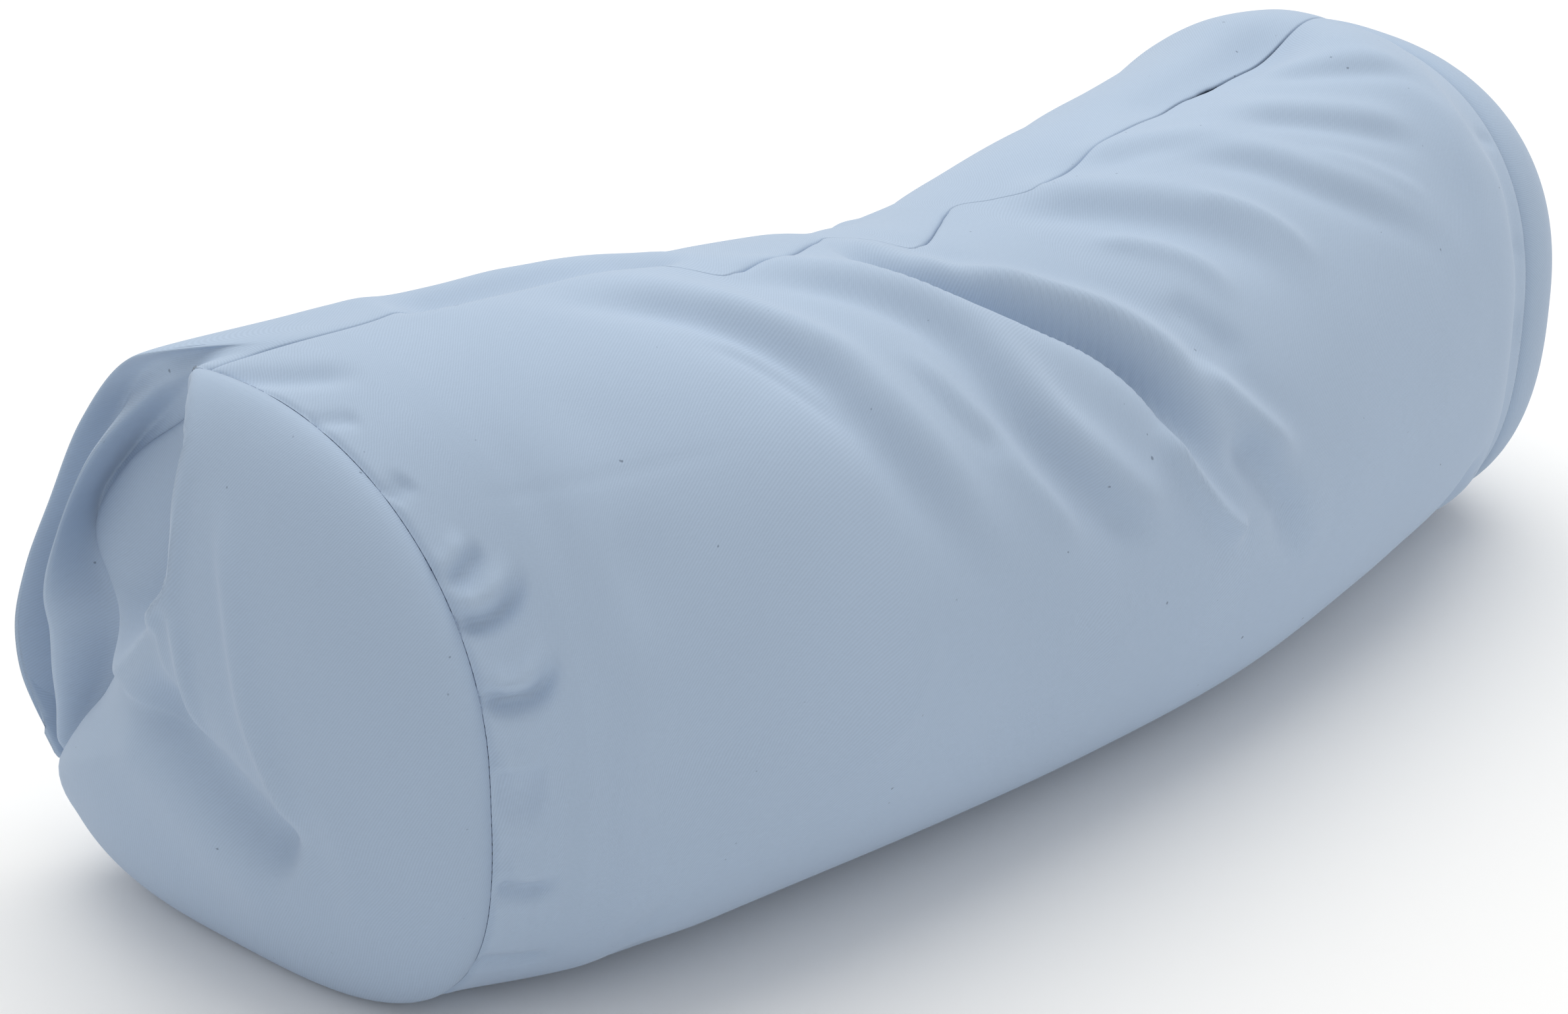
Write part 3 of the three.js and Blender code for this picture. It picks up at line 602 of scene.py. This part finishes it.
def simulate(piece, pinned):
    """Runs the cloth with some points pinned, and gives back where its points end, in mm."""
    piece.vertex_groups.new(name="pins").add(pinned, 1.0, "REPLACE")
    modifier = piece.modifiers.new("cloth", "CLOTH")
    for name, value in SETTLE_CLOTH.items():
        setattr(modifier.settings, name, value)
    modifier.settings.effector_weights.gravity = 0
    modifier.collision_settings.use_collision = False
    modifier.point_cache.frame_end = SETTLE_FRAMES
    scene = bpy.context.scene
    for moment in range(1, SETTLE_FRAMES + 1):
        scene.frame_set(moment)
    shown = piece.evaluated_get(bpy.context.evaluated_depsgraph_get())
    flat = np.zeros(3 * len(shown.data.vertices))
    shown.data.vertices.foreach_get("co", flat)
    bpy.data.objects.remove(piece)
    scene.frame_set(1)
    return flat / MM


def settle_cover():
    """Blows up a coarse copy of the cover as cloth that is cut a little large, and keeps the small
    buckles that it takes. Its broad shape stays as modelled."""
    rows = round((2 * HALF_ARC - END_ZONE) / SETTLE_STEP)
    arcs = np.linspace(-HALF_ARC + END_ZONE, HALF_ARC, rows)
    angles = np.arange(0, 360, SETTLE_ANGLE)
    before = cover_point(arcs[:, None], angles[None, :])
    piece = grid_mesh("settling", before, wrap=True)
    first_row = list(range(len(angles)))
    last_row = [k + (rows - 1) * len(angles) for k in first_row]
    after = simulate(piece, first_row + last_row).reshape(before.shape)
    wrapped = np.concatenate([before[:, -1:], before, before[:, :1]], axis=1)
    outward = grid_normals(wrapped)[:, 1:-1]
    moved = np.sum((after - before) * outward, axis=-1)
    fine = blurred(moved, 1) - blurred(moved, BROAD_PASSES)
    fine = SETTLE_CAP * np.tanh(fine / SETTLE_CAP)
    lengthwise = smoothstep(0, NEAR_FADE, arcs - arcs[0]) * smoothstep(0, FAR_FADE, HALF_ARC - arcs)
    turn = np.abs(centred(angles))
    crest = lerp(CREST_SHARE, 1, smoothstep(*CREST_FADE, turn))
    crosswise = crest * smoothstep(0, FLOOR_FADE, FLOOR_ANGLE - turn)
    height = fine * lengthwise[:, None] * crosswise
    BUCKLES.update(start=arcs[0], step=arcs[1] - arcs[0], height=height)


# ---- Meshes ----

def place_object(name, data):
    made = bpy.data.objects.new(name, data)
    bpy.context.scene.collection.objects.link(made)
    return made


def new_piece(name, vertices, faces):
    mesh = bpy.data.meshes.new(name)
    mesh.from_pydata(vertices, [], faces)
    mesh.polygons.foreach_set("use_smooth", [True] * len(mesh.polygons))
    mesh.update()
    return place_object(name, mesh)


def grid_mesh(name, points, uv=None, wrap=False, poles=()):
    """A mesh from a grid of points in mm. wrap joins the last column to the first. Each pole is
    (row, point), and closes the first row, 0, or the last one, -1. uv has a place on the flat
    cloth for each point and then for each pole."""
    rows, columns = points.shape[:2]
    vertices = np.concatenate([points.reshape(-1, 3), *([point] for row, point in poles)])
    index = np.arange(rows * columns).reshape(rows, columns)
    if wrap:
        index = np.concatenate([index, index[:, :1]], axis=1)
    faces = np.stack([index[:-1, :-1], index[1:, :-1], index[1:, 1:], index[:-1, 1:]], axis=-1)
    faces = faces.reshape(-1, 4).tolist()
    for k, (row, _) in enumerate(poles):
        tip = rows * columns + k
        rim = index[row].tolist()[:: 1 if row else -1]
        faces += [[a, tip, b] for a, b in zip(rim[:-1], rim[1:])]
    piece = new_piece(name, (vertices * MM).tolist(), faces)
    if uv is not None:
        layer = piece.data.uv_layers.new(name="cloth")
        corner = np.zeros(len(piece.data.loops), int)
        piece.data.loops.foreach_get("vertex_index", corner)
        layer.data.foreach_set("uv", (uv.reshape(-1, 2) * MM)[corner].ravel())
    return piece


def thicken(piece, thickness):
    """Gives a one-sided sheet its thickness, inwards."""
    modifier = piece.modifiers.new("thickness", "SOLIDIFY")
    modifier.thickness = thickness * MM
    modifier.offset = -1
    shown = piece.evaluated_get(bpy.context.evaluated_depsgraph_get())
    piece.data = bpy.data.meshes.new_from_object(shown)
    piece.modifiers.clear()
    return piece


# ---- The cover's pieces ----

# The turned-in edge beside the lengthwise seam: (degrees off the seam, depth in mm).
SEAM_EDGE = ((0, 7.0), (0, 3.5), (0, 1.6), (0.12, 0.8), (0.5, 0.4), (1.1, 0.16), (1.8, 0.04))
SEAM_CLEAR = 2.6
COLUMN_STEP = 1.15
ROW_STEP = 1.7
HALF_SLIT = 0.2
# At the slider's two places the seam makes room for its neck, and the turned-in edges are short.
# Each pair holds the distances at which this is full and at which it has ended.
NECK_ROOM = 0.5
NECK_SLOT = (2.4, 5)
SHORT_EDGES = (7, 10)
SHORT_EDGE, SHORT_EDGE_SLOPE = 1, 0.05
# Rows close up towards the end seams: shares of the near net, and distances from the far seam.
NEAR_ROWS = 40
NEAR_LAST_ROWS = (0.94, 0.96, 0.975, 0.987, 0.995, 1.0)
FAR_ZONE = 12
FAR_LAST_ROWS = (9.5, 7, 5, 3.4, 2.2, 1.4, 0.7, 0.25, 0)
# The groove at each end seam, and the edge that is turned in there.
SEAM_DIPS = {-1: 0.7, 1: 0.3}
SEAM_DIP_WIDTH = 1.4
EDGE_DEPTHS = (2.0, 4.0, 7.0)
EDGE_GAP = 0.1
PANEL_STEP = 1.6
PANEL_ROWS = 60
PANEL_LAST_ROWS = (0.955, 0.97, 0.982, 0.991, 0.997, 1.0)


def seam_columns():
    """Angles off the lengthwise seam with depths, from one side of it round to the other."""
    count = round((360 - 2 * SEAM_CLEAR) / COLUMN_STEP)
    middle = [(a, 0.0) for a in np.linspace(SEAM_CLEAR, 360 - SEAM_CLEAR, count)]
    return np.array([*SEAM_EDGE, *middle, *((360 - a, d) for a, d in reversed(SEAM_EDGE))])


def beside_slider(arc, near, far):
    """1 within the near distance of either end of the slider's run, and 0 past the far one."""
    return 1 - smoothstep(near, far, np.abs(np.abs(arc) - SLIDER_ARC))


def beside_seam(arc, columns):
    """The columns' angles and depths at each arc, with the seam as open as it is there."""
    open_here = track(arc, SEAM_OPEN)[:, None]
    offset, depth = columns[None, :, 0], columns[None, :, 1]
    slit = np.maximum(open_here * HALF_SLIT, NECK_ROOM * beside_slider(arc, *NECK_SLOT)[:, None])
    angle = seam_angle(arc)[:, None] + offset + slit / GIRTH_PER_DEGREE * (1 - offset / 180)
    short = SHORT_EDGE + SHORT_EDGE_SLOPE * depth
    turned_in = lerp(depth, short, beside_slider(arc, *SHORT_EDGES)[:, None])
    return angle, np.where(depth < 1, depth * open_here, turned_in)


def inward(side, angle):
    """The way into the pillow from an end seam, between the body and the end panel."""
    rad = np.radians(angle)
    arc = np.full(np.shape(angle), side * HALF_ARC)
    centre = placed(arc, 0 * rad, CENTRE_HEIGHT + 0 * rad)
    rim = placed(arc, np.sin(rad), CENTRE_HEIGHT + np.cos(rad), side * 1.0)
    return -unit(rim - centre)


def seam_edge(points, side, angle):
    """Dips the rows that end at an end seam into its groove, and adds the turned-in edge."""
    seam, last = points[-1], points[-2]
    into = inward(side, angle)
    distance = np.linalg.norm(points - seam, axis=-1)
    dipped = points + (SEAM_DIPS[side] * bell(distance, SEAM_DIP_WIDTH))[..., None] * into
    away = EDGE_GAP * unit(last - seam)
    dipped[-1] += away
    edge = [seam + away + depth * into for depth in EDGE_DEPTHS]
    return np.concatenate([dipped, np.stack(edge)])


def build_cover_body():
    columns = seam_columns()
    share = np.concatenate([np.linspace(0, 0.92, NEAR_ROWS), NEAR_LAST_ROWS])
    arcs = np.concatenate([
        np.arange(-HALF_ARC + END_ZONE, HALF_ARC - FAR_ZONE, ROW_STEP)[1:],
        HALF_ARC - np.array(FAR_LAST_ROWS),
    ])
    # The near end's net takes one angle for each column, which holds as far as its zone reaches.
    near_arc = np.array([-HALF_ARC + END_ZONE / 2])
    near_angle, near_depth = beside_seam(near_arc, columns)
    near = seam_edge(near_cloth(share, near_angle[0]), -1, near_angle[0])[::-1]
    angle, depth = beside_seam(arcs, columns)
    blend = smoothstep(-HALF_ARC + END_ZONE, -HALF_ARC + 2 * END_ZONE, arcs)[:, None]
    angle = lerp(near_angle, angle, blend)
    far = seam_edge(cover_point(arcs[:, None], angle), 1, angle[-1])
    points = np.concatenate([near, far])
    depth = np.concatenate([np.repeat(near_depth, len(near), axis=0), depth])
    depth = np.pad(depth, ((0, len(points) - len(depth)), (0, 0)), mode="edge")
    # The depths are taken along the normals of the nearest cloth that lies clear of every seam.
    edges = len(SEAM_EDGE)
    first = len(EDGE_DEPTHS) + len(NEAR_LAST_ROWS) + 1
    last = len(EDGE_DEPTHS) + len(FAR_LAST_ROWS)
    normals = grid_normals(points[first:-last, edges:-edges])
    normals = np.pad(normals, ((first, last), (edges, edges), (0, 0)), mode="edge")
    points = points - depth[..., None] * normals
    lengths = np.linalg.norm(np.diff(points, axis=0), axis=2).mean(axis=1)
    along = np.concatenate([[0], np.cumsum(lengths)])
    around = columns[:, 0] * GIRTH_PER_DEGREE
    uv = np.stack(np.meshgrid(along, around, indexing="ij"), axis=-1)
    return thicken(grid_mesh("cover_body", points, uv), CLOTH)


def build_end_panel(side):
    angle = np.arange(0, 360, PANEL_STEP)
    share = np.concatenate([np.linspace(0.008, 0.935, PANEL_ROWS), PANEL_LAST_ROWS])
    points, across, up = panel_point(side, share[:, None], angle[None, :])
    # The texture keeps its size where the cloth turns over the rim.
    steps = np.linalg.norm(np.diff(points, axis=0), axis=-1)
    reach = np.cumsum(np.concatenate([steps[:1], steps]), axis=0)
    uv = POLE + reach[..., None] * unit(np.stack([across, up], axis=-1) - POLE)
    uv = np.concatenate([uv] + [uv[-1:]] * len(EDGE_DEPTHS))[::-1]
    points = seam_edge(points, side, angle)[::-1]
    if side < 0:
        points, uv = points[:, ::-1], uv[:, ::-1]
    name = "end_panel_near" if side < 0 else "end_panel_far"
    uv = np.concatenate([uv.reshape(-1, 2), [POLE]])
    poles = [(-1, panel_point(side, 0.0, 0.0)[0])]
    return thicken(grid_mesh(name, points, uv, wrap=True, poles=poles), CLOTH)


# ---- Stitches, zip and inner cushion ----

SEAM_STITCH = dict(pitch=2.5, length=1.9, radius=0.24)
ZIP_STITCH = dict(pitch=2.5, length=1.9, radius=0.2)
CASING_STITCH = dict(pitch=3.0, length=2.2, radius=0.22)
# Rings of one stitch, from end to end: (share of its length from its middle, share of its radius).
STITCH_RINGS = ((-0.5, 0.35), (-0.36, 1.0), (0.36, 1.0), (0.5, 0.35))
STITCH_SIDES = 6
END_STITCH_DEPTH = 1.25
PLAIN_STITCH_DEPTH = 1.4
TAPE = 0.5
TAPE_DEPTH = 2.1
TAPE_EDGES = (0.7, 10.4)
TAPE_STITCH_ACROSS = 6.5
COIL_DEPTH = 3.6
COIL_ACROSS = 1.3
COIL_HALF_WIDTH, COIL_HALF_HEIGHT = 0.6, 0.5
COIL_TURNS = 170
COIL_STEPS = 8
COIL_SIDES = 5
WIRE_RADIUS = 0.24
CASING = 0.6
CUSHION_DEPTH = 5.5
CUSHION_ENDS = {-1: -HALF_ARC + 19, 1: HALF_ARC - 7}
FILLING_DEPTH = CUSHION_DEPTH + 2.0
# The cushion lies this much deeper under the zip, over this many degrees.
ZIP_HOLLOW, ZIP_HOLLOW_WIDTH = 2.0, 8
# The cushion's ends are this much smaller than the panels they follow, and lie deeper.
INNER_END_SIZE, INNER_END_GAP = 0.84, 2.0
INNER_STEP = 4.0
INNER_ROWS = 90
STITCH_PROUD = 0.2


def dashes(name, path, pitch, length, radius):
    """A row of separate stitches along a path of points, each a small capsule of thread."""
    steps = np.linalg.norm(np.diff(path, axis=0), axis=1)
    travelled = np.concatenate([[0], np.cumsum(steps)])
    count = max(2, round(travelled[-1] / pitch))
    centres = (np.arange(count) + 0.5) * travelled[-1] / count

    def at(distance):
        return np.stack([np.interp(distance, travelled, path[:, k]) for k in range(3)], axis=-1)

    middle = at(centres)
    way = unit(at(centres + length / 2) - at(centres - length / 2))
    side = unit(np.cross(way, [0.3, 0.2, 1.0]))
    up = np.cross(side, way)
    turn = (np.arange(STITCH_SIDES) * 2 * math.pi / STITCH_SIDES)[:, None]
    spokes = np.cos(turn) * side[:, None] + np.sin(turn) * up[:, None]
    rings = [(middle + way * shift * length)[:, None] + spokes * radius * size
             for shift, size in STITCH_RINGS]
    points = np.stack(rings, axis=1)
    faces = []
    for stitch in np.arange(points[..., 0].size).reshape(points.shape[:3]).tolist():
        for ring, after in zip(stitch[:-1], stitch[1:]):
            for j in range(STITCH_SIDES):
                faces.append((ring[j - 1], after[j - 1], after[j], ring[j]))
        faces += [stitch[0], stitch[-1][::-1]]
    return new_piece(name, (points * MM).reshape(-1, 3).tolist(), faces)


def along_seam(arcs, across, depth):
    """Points beside the lengthwise seam, at a distance across it and a depth below the cloth."""
    return cover_point(arcs, angle_at(arcs, track(arcs, SEAM_WANDER) + across), depth)


def build_tape(name, side):
    arcs = np.linspace(-ZIP_HALF_ARC, ZIP_HALF_ARC, 180)
    across = np.linspace(*TAPE_EDGES, 8) * side
    points = along_seam(arcs[:, None], across[None, :], TAPE_DEPTH)
    if side < 0:
        points = points[:, ::-1]
    return thicken(grid_mesh(name, points), TAPE)


def build_coil(name, side):
    """One half of the zip's chain: a nylon coil that lies under its tape's edge."""
    turn = np.linspace(0, COIL_TURNS * 2 * math.pi, COIL_TURNS * COIL_STEPS)
    arcs = np.linspace(-ZIP_HALF_ARC + 2, ZIP_HALF_ARC - 2, len(turn))
    across = side * (COIL_ACROSS + COIL_HALF_WIDTH * np.cos(turn))
    centre = along_seam(arcs, across, COIL_DEPTH + COIL_HALF_HEIGHT * np.sin(turn))
    way = unit(np.gradient(centre, axis=0))
    out = unit(np.cross(way, [0.2, 0.97, 0.1]))
    other = np.cross(out, way)
    around = np.arange(COIL_SIDES) * 2 * math.pi / COIL_SIDES
    rings = [centre + WIRE_RADIUS * (math.cos(t) * out + math.sin(t) * other) for t in around]
    return grid_mesh(name, np.stack(rings, axis=1), wrap=True)


def inner_point(arc, angle, depth):
    """A point below the cover that also makes room for the zip."""
    off = centred(angle - seam_angle(arc))
    return cover_point(arc, angle, depth + ZIP_HOLLOW * bell(off, ZIP_HOLLOW_WIDTH))


def inner_end(side, share, angle, depth):
    """A point of an inner end, which follows the end panel and meets the inner tube's end."""
    panel = panel_point(side, INNER_END_SIZE * share, angle, depth + INNER_END_GAP)[0]
    rim = inner_point(np.full(np.shape(share), CUSHION_ENDS[side]), angle, depth)
    return lerp(panel, rim, smoothstep(0.5, 1, share)[..., None])


def inner_middle(side, depth):
    return inner_end(side, np.array(0.0), np.array(0.0), depth)


def build_inner_tube(name, depth):
    angle = np.arange(0, 360, INNER_STEP)
    arcs = np.linspace(CUSHION_ENDS[-1], CUSHION_ENDS[1], INNER_ROWS)
    points = inner_point(arcs[:, None], angle[None, :], depth)
    return thicken(grid_mesh(name, points, wrap=True), CASING)


def build_inner_end(name, side, depth):
    angle = np.arange(0, 360, INNER_STEP)
    share = np.linspace(1, 0.02, 26)
    points = inner_end(side, share[:, None], angle[None, :], depth)
    if side < 0:
        points = points[:, ::-1]
    poles = [(-1, inner_middle(side, depth))]
    return thicken(grid_mesh(name, points, wrap=True, poles=poles), CASING)


def build_filling(depth):
    """The loose fibre as one closed lump: near end, tube and far end in one grid."""
    angle = np.arange(0, 360, INNER_STEP)
    share = np.linspace(0.03, 0.96, 22)[:, None]
    near = inner_end(-1, share, angle[None, :], depth)
    arcs = np.linspace(CUSHION_ENDS[-1] + 1, CUSHION_ENDS[1] - 1, INNER_ROWS)
    tube = inner_point(arcs[:, None], angle[None, :], depth)
    far = inner_end(1, share[::-1], angle[None, :], depth)
    points = np.concatenate([near, tube, far])
    poles = [(0, inner_middle(-1, depth)), (-1, inner_middle(1, depth))]
    return grid_mesh("filling_fibre", points, wrap=True, poles=poles)


# ---- Materials ----

def srgb(red, green, blue):
    """A linear colour from 0-255 screen values."""
    def linear(value):
        value /= 255
        return value / 12.92 if value <= 0.04045 else ((value + 0.055) / 1.055) ** 2.4
    return (linear(red), linear(green), linear(blue), 1)


def shaded(colour, factor):
    return tuple(min(1, channel * factor) for channel in colour[:3]) + (1,)


BLUE = srgb(172, 190, 212)
# The end panels' blue is the body's made a little darker: painted shade on the upright ends, which
# get less of the light from above.
END_BLUE_PAINTED_SHADE = srgb(168, 186, 208)
LINT = srgb(70, 80, 98)
SHEEN = srgb(232, 236, 242)
WALE = 0.65 * MM
THREAD_PITCH = 0.6 * WALE
WAVE_TURN = 2 * math.pi / 20  # a wave texture at scale 1 repeats after this length


class Nodes:
    """Short calls for building a material's node tree."""

    def __init__(self, name):
        self.material = bpy.data.materials.new(name)
        self.material.use_nodes = True
        self.tree = self.material.node_tree
        self.shader = self.tree.nodes["Principled BSDF"]

    def node(self, kind, inputs=None, **settings):
        made = self.tree.nodes.new(kind)
        for key, value in settings.items():
            setattr(made, key, value)
        for key, value in (inputs or {}).items():
            self.feed(made.inputs[key], value)
        return made

    def feed(self, socket, value):
        if isinstance(value, bpy.types.NodeSocket):
            self.tree.links.new(value, socket)
        else:
            socket.default_value = value

    def surface(self, inputs):
        for key, value in inputs.items():
            self.feed(self.shader.inputs[key], value)
        return self.material

    def math(self, operation, a, b):
        return self.node("ShaderNodeMath", {0: a, 1: b}, operation=operation).outputs[0]

    def wave(self, where, size, direction, inputs):
        """Bands of a given size across one direction."""
        inputs = {"Vector": where, "Scale": WAVE_TURN / size, **inputs}
        made = self.node("ShaderNodeTexWave", inputs, bands_direction=direction)
        return made.outputs["Fac"]

    def mix(self, share, a, b):
        made = self.node("ShaderNodeMix", data_type="RGBA")
        self.feed(made.inputs[0], share)
        self.feed(made.inputs[6], a)
        self.feed(made.inputs[7], b)
        return made.outputs[2]

    def noise(self, where, scale, detail=3.0):
        return self.node("ShaderNodeTexNoise", {"Vector": where, "Scale": scale,
                                                "Detail": detail}).outputs[0]

    def range(self, value, low, high, to_low=0.0, to_high=1.0):
        made = self.node("ShaderNodeMapRange", {0: value, 1: low, 2: high, 3: to_low, 4: to_high})
        return made.outputs[0]

    def bump(self, height, strength, distance, under=None):
        inputs = {"Height": height, "Strength": strength, "Distance": distance}
        if under is not None:
            inputs["Normal"] = under
        return self.node("ShaderNodeBump", inputs).outputs[0]


def twill(name, colour, wale_turn):
    """Cotton twill: diagonal wales of fine threads, soft sheen, slight unevenness and lint."""
    n = Nodes(name)
    uv = n.node("ShaderNodeUVMap", uv_map="cloth").outputs[0]
    place = n.node("ShaderNodeTexCoord").outputs["Object"]
    turned = n.node("ShaderNodeVectorRotate", {"Vector": uv, "Angle": math.radians(wale_turn)},
                    rotation_type="Z_AXIS").outputs[0]
    wobble = n.noise(place, 60.0)
    wales = n.wave(turned, WALE, "X", {"Distortion": 0.6, "Detail": 2.0, "Detail Scale": 2.0})
    threads = n.wave(uv, THREAD_PITCH, "Y", {"Distortion": 0.8, "Detail": 1.0})
    slubs = n.noise(n.node("ShaderNodeMapping", {"Vector": uv, "Scale": (300, 2600, 1)}).outputs[0],
                    1.0, 2.0)
    cloud = n.noise(place, 9.0, 4.0)
    specks = n.noise(place, 420.0, 1.0)
    lint = n.range(specks, 0.80, 0.83)
    shade = n.math("ADD", n.math("MULTIPLY", wales, 0.05), n.math("MULTIPLY", slubs, 0.05))
    shade = n.math("ADD", shade, n.math("MULTIPLY", cloud, 0.10))
    base = n.mix(n.range(shade, 0.02, 0.18), shaded(colour, 0.86), shaded(colour, 1.10))
    base = n.mix(n.math("MULTIPLY", lint, 0.55), base, LINT)
    weave = n.math("ADD", wales, n.math("MULTIPLY", threads, 0.2))
    soft = n.bump(n.noise(place, 34.0, 4.0), 0.25, 0.6 * MM)
    return n.surface({
        "Base Color": base,
        "Roughness": n.range(wobble, 0.3, 0.7, 0.80, 0.92),
        "Specular IOR Level": 0.25,
        "Sheen Weight": 0.22,
        "Sheen Roughness": 0.45,
        "Sheen Tint": SHEEN,
        "Normal": n.bump(weave, 0.25, 0.10 * MM, soft),
    })


def plain_material(name, colour, roughness, grain=2000.0, strength=0.2):
    """A material with a fine mottle in its colour, roughness and surface."""
    n = Nodes(name)
    mottle = n.noise(n.node("ShaderNodeTexCoord").outputs["Object"], grain)
    return n.surface({
        "Base Color": n.mix(mottle, shaded(colour, 0.85), colour),
        "Roughness": n.range(mottle, 0, 1, roughness - 0.06, roughness + 0.06),
        "Normal": n.bump(mottle, strength, 0.1 * MM),
    })


# ---- Stage, camera and light ----

CAMERA_PLACE = (-0.5665, -0.5874, 0.452)
CAMERA_HEADING = 48.6
CAMERA_DROP = 25.77
CAMERA_LENS = 77.35
SENSOR_WIDTH = 36.0
FLOOR_HALF = 3.0
FLOOR_DROP = 0.0003
SKY_STRENGTH = 0.655
LIGHT_TINT = (1.0, 0.985, 0.94)
LIGHT_PLACE = (0.35, 0.4, 1.5)
LIGHT_TARGET = (0, 0, 0.08)
LIGHT_SIZE = 2.0
LIGHT_POWER = 18


def build_camera():
    data = bpy.data.cameras.new("camera")
    data.lens = CAMERA_LENS
    data.sensor_width = SENSOR_WIDTH
    data.clip_start = 0.01
    camera = place_object("camera", data)
    camera.location = CAMERA_PLACE
    camera.rotation_euler = (math.radians(90 - CAMERA_DROP), 0, math.radians(CAMERA_HEADING - 90))
    bpy.context.scene.camera = camera


def build_floor():
    square = [(x * FLOOR_HALF, y * FLOOR_HALF, 0) for x, y in ((-1, -1), (1, -1), (1, 1), (-1, 1))]
    floor = new_piece("floor", square, [(0, 1, 2, 3)])
    floor.location.z = -FLOOR_DROP
    floor.data.materials.append(Nodes("floor").surface({
        "Base Color": (0.94, 0.94, 0.94, 1),
        "Roughness": 0.9,
        "Specular IOR Level": 0.1,
    }))


def build_studio():
    """An even white surround, with one wide soft light above and behind."""
    world = bpy.data.worlds.new("studio")
    world.use_nodes = True
    background = world.node_tree.nodes["Background"]
    background.inputs["Color"].default_value = (1, 1, 1, 1)
    background.inputs["Strength"].default_value = SKY_STRENGTH
    bpy.context.scene.world = world
    data = bpy.data.lights.new("overhead", "AREA")
    data.shape = "DISK"
    data.size = LIGHT_SIZE
    data.energy = LIGHT_POWER
    data.color = LIGHT_TINT
    light = place_object("overhead", data)
    light.location = LIGHT_PLACE
    aim = Vector(LIGHT_TARGET) - Vector(LIGHT_PLACE)
    light.rotation_euler = aim.to_track_quat("-Z", "Y").to_euler()
    bpy.context.scene.view_settings.view_transform = "Standard"


# ---- The pillow, piece by piece ----

build_camera()
build_floor()
build_studio()


def fit(piece, material, node):
    """Gives a piece its material and body, and lets it stand for its CAD node."""
    piece.data.materials.clear()
    piece.data.materials.append(material)
    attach(piece, "pillow")
    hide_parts(node)
    return piece


settle_cover()
cover = fit(build_cover_body(), twill("twill_body", BLUE, 45), "cover_body_panel")
# The end panels' twill uses the darker blue, which is painted shade.
panel_twill_painted_shade = twill("twill_end_painted_shade", END_BLUE_PAINTED_SHADE, -30)
for side, end in ((-1, "near"), (1, "far")):
    fit(build_end_panel(side), panel_twill_painted_shade, "cover_end_panel_" + end)

thread = plain_material("seam_thread", srgb(156, 173, 197), 0.7)
casing_thread = plain_material("casing_thread", srgb(206, 201, 190), 0.7)
casing = plain_material("casing_cotton", srgb(214, 210, 200), 0.85, grain=900)
fibre = plain_material("fibre_filling", srgb(226, 224, 218), 0.95, grain=300, strength=0.8)
tape_cloth = plain_material("zip_tape", srgb(140, 158, 183), 0.8)
nylon = plain_material("zip_nylon", srgb(150, 167, 190), 0.45)
enamel = plain_material("zip_enamel", srgb(140, 158, 184), 0.35, grain=600, strength=0.05)

turn = np.arange(0, 361, 1.5)
plain_arcs = np.linspace(ZIP_HALF_ARC + 2, HALF_ARC - 4, 40)
for side, end, seam in ((-1, "near", near_seam), (1, "far", far_seam)):
    path = seam(turn) + END_STITCH_DEPTH * inward(side, turn)
    fit(dashes("end_seam_stitches_" + end, path, **SEAM_STITCH), thread,
        "end_seam_thread_" + end)
    path = along_seam(side * plain_arcs, 0.0, PLAIN_STITCH_DEPTH)
    fit(dashes("plain_seam_stitches_" + end, path, **SEAM_STITCH), thread,
        "plain_seam_thread_" + end)
    rim_arc = np.full(turn.shape, CUSHION_ENDS[side])
    path = inner_point(rim_arc, turn, CUSHION_DEPTH - STITCH_PROUD)
    fit(dashes("cushion_stitches_" + end, path, **CASING_STITCH), casing_thread,
        "cushion_seam_thread_" + end)

zip_arcs = np.linspace(-ZIP_HALF_ARC + 1, ZIP_HALF_ARC - 1, 200)
for side, name in ((-1, "front"), (1, "back")):
    fit(build_tape("zip_tape_cloth_" + name, side), tape_cloth, "zip_tape_" + name)
    fit(build_coil("zip_chain_" + name, side), nylon, "zip_coil_" + name)
    path = along_seam(zip_arcs, side * TAPE_STITCH_ACROSS, TAPE_DEPTH - STITCH_PROUD)
    fit(dashes("zip_stitches_" + name, path, **ZIP_STITCH), thread,
        "zip_stitching_" + name)

casing_tube = fit(build_inner_tube("cushion_tube", CUSHION_DEPTH), casing,
                  "cushion_body_panel")
for side, end in ((-1, "near"), (1, "far")):
    fit(build_inner_end("cushion_end_" + end, side, CUSHION_DEPTH), casing,
                           "cushion_end_panel_" + end)
filling = fit(build_filling(FILLING_DEPTH), fibre, "filling")

for node in ("zip_slider", "zip_pull_tab", "zip_bottom_stop", "zip_top_stop_front",
             "zip_top_stop_back"):
    for material_slot in frame["nodes"][node].material_slots:
        material_slot.material = nylon if "stop" in node else enamel
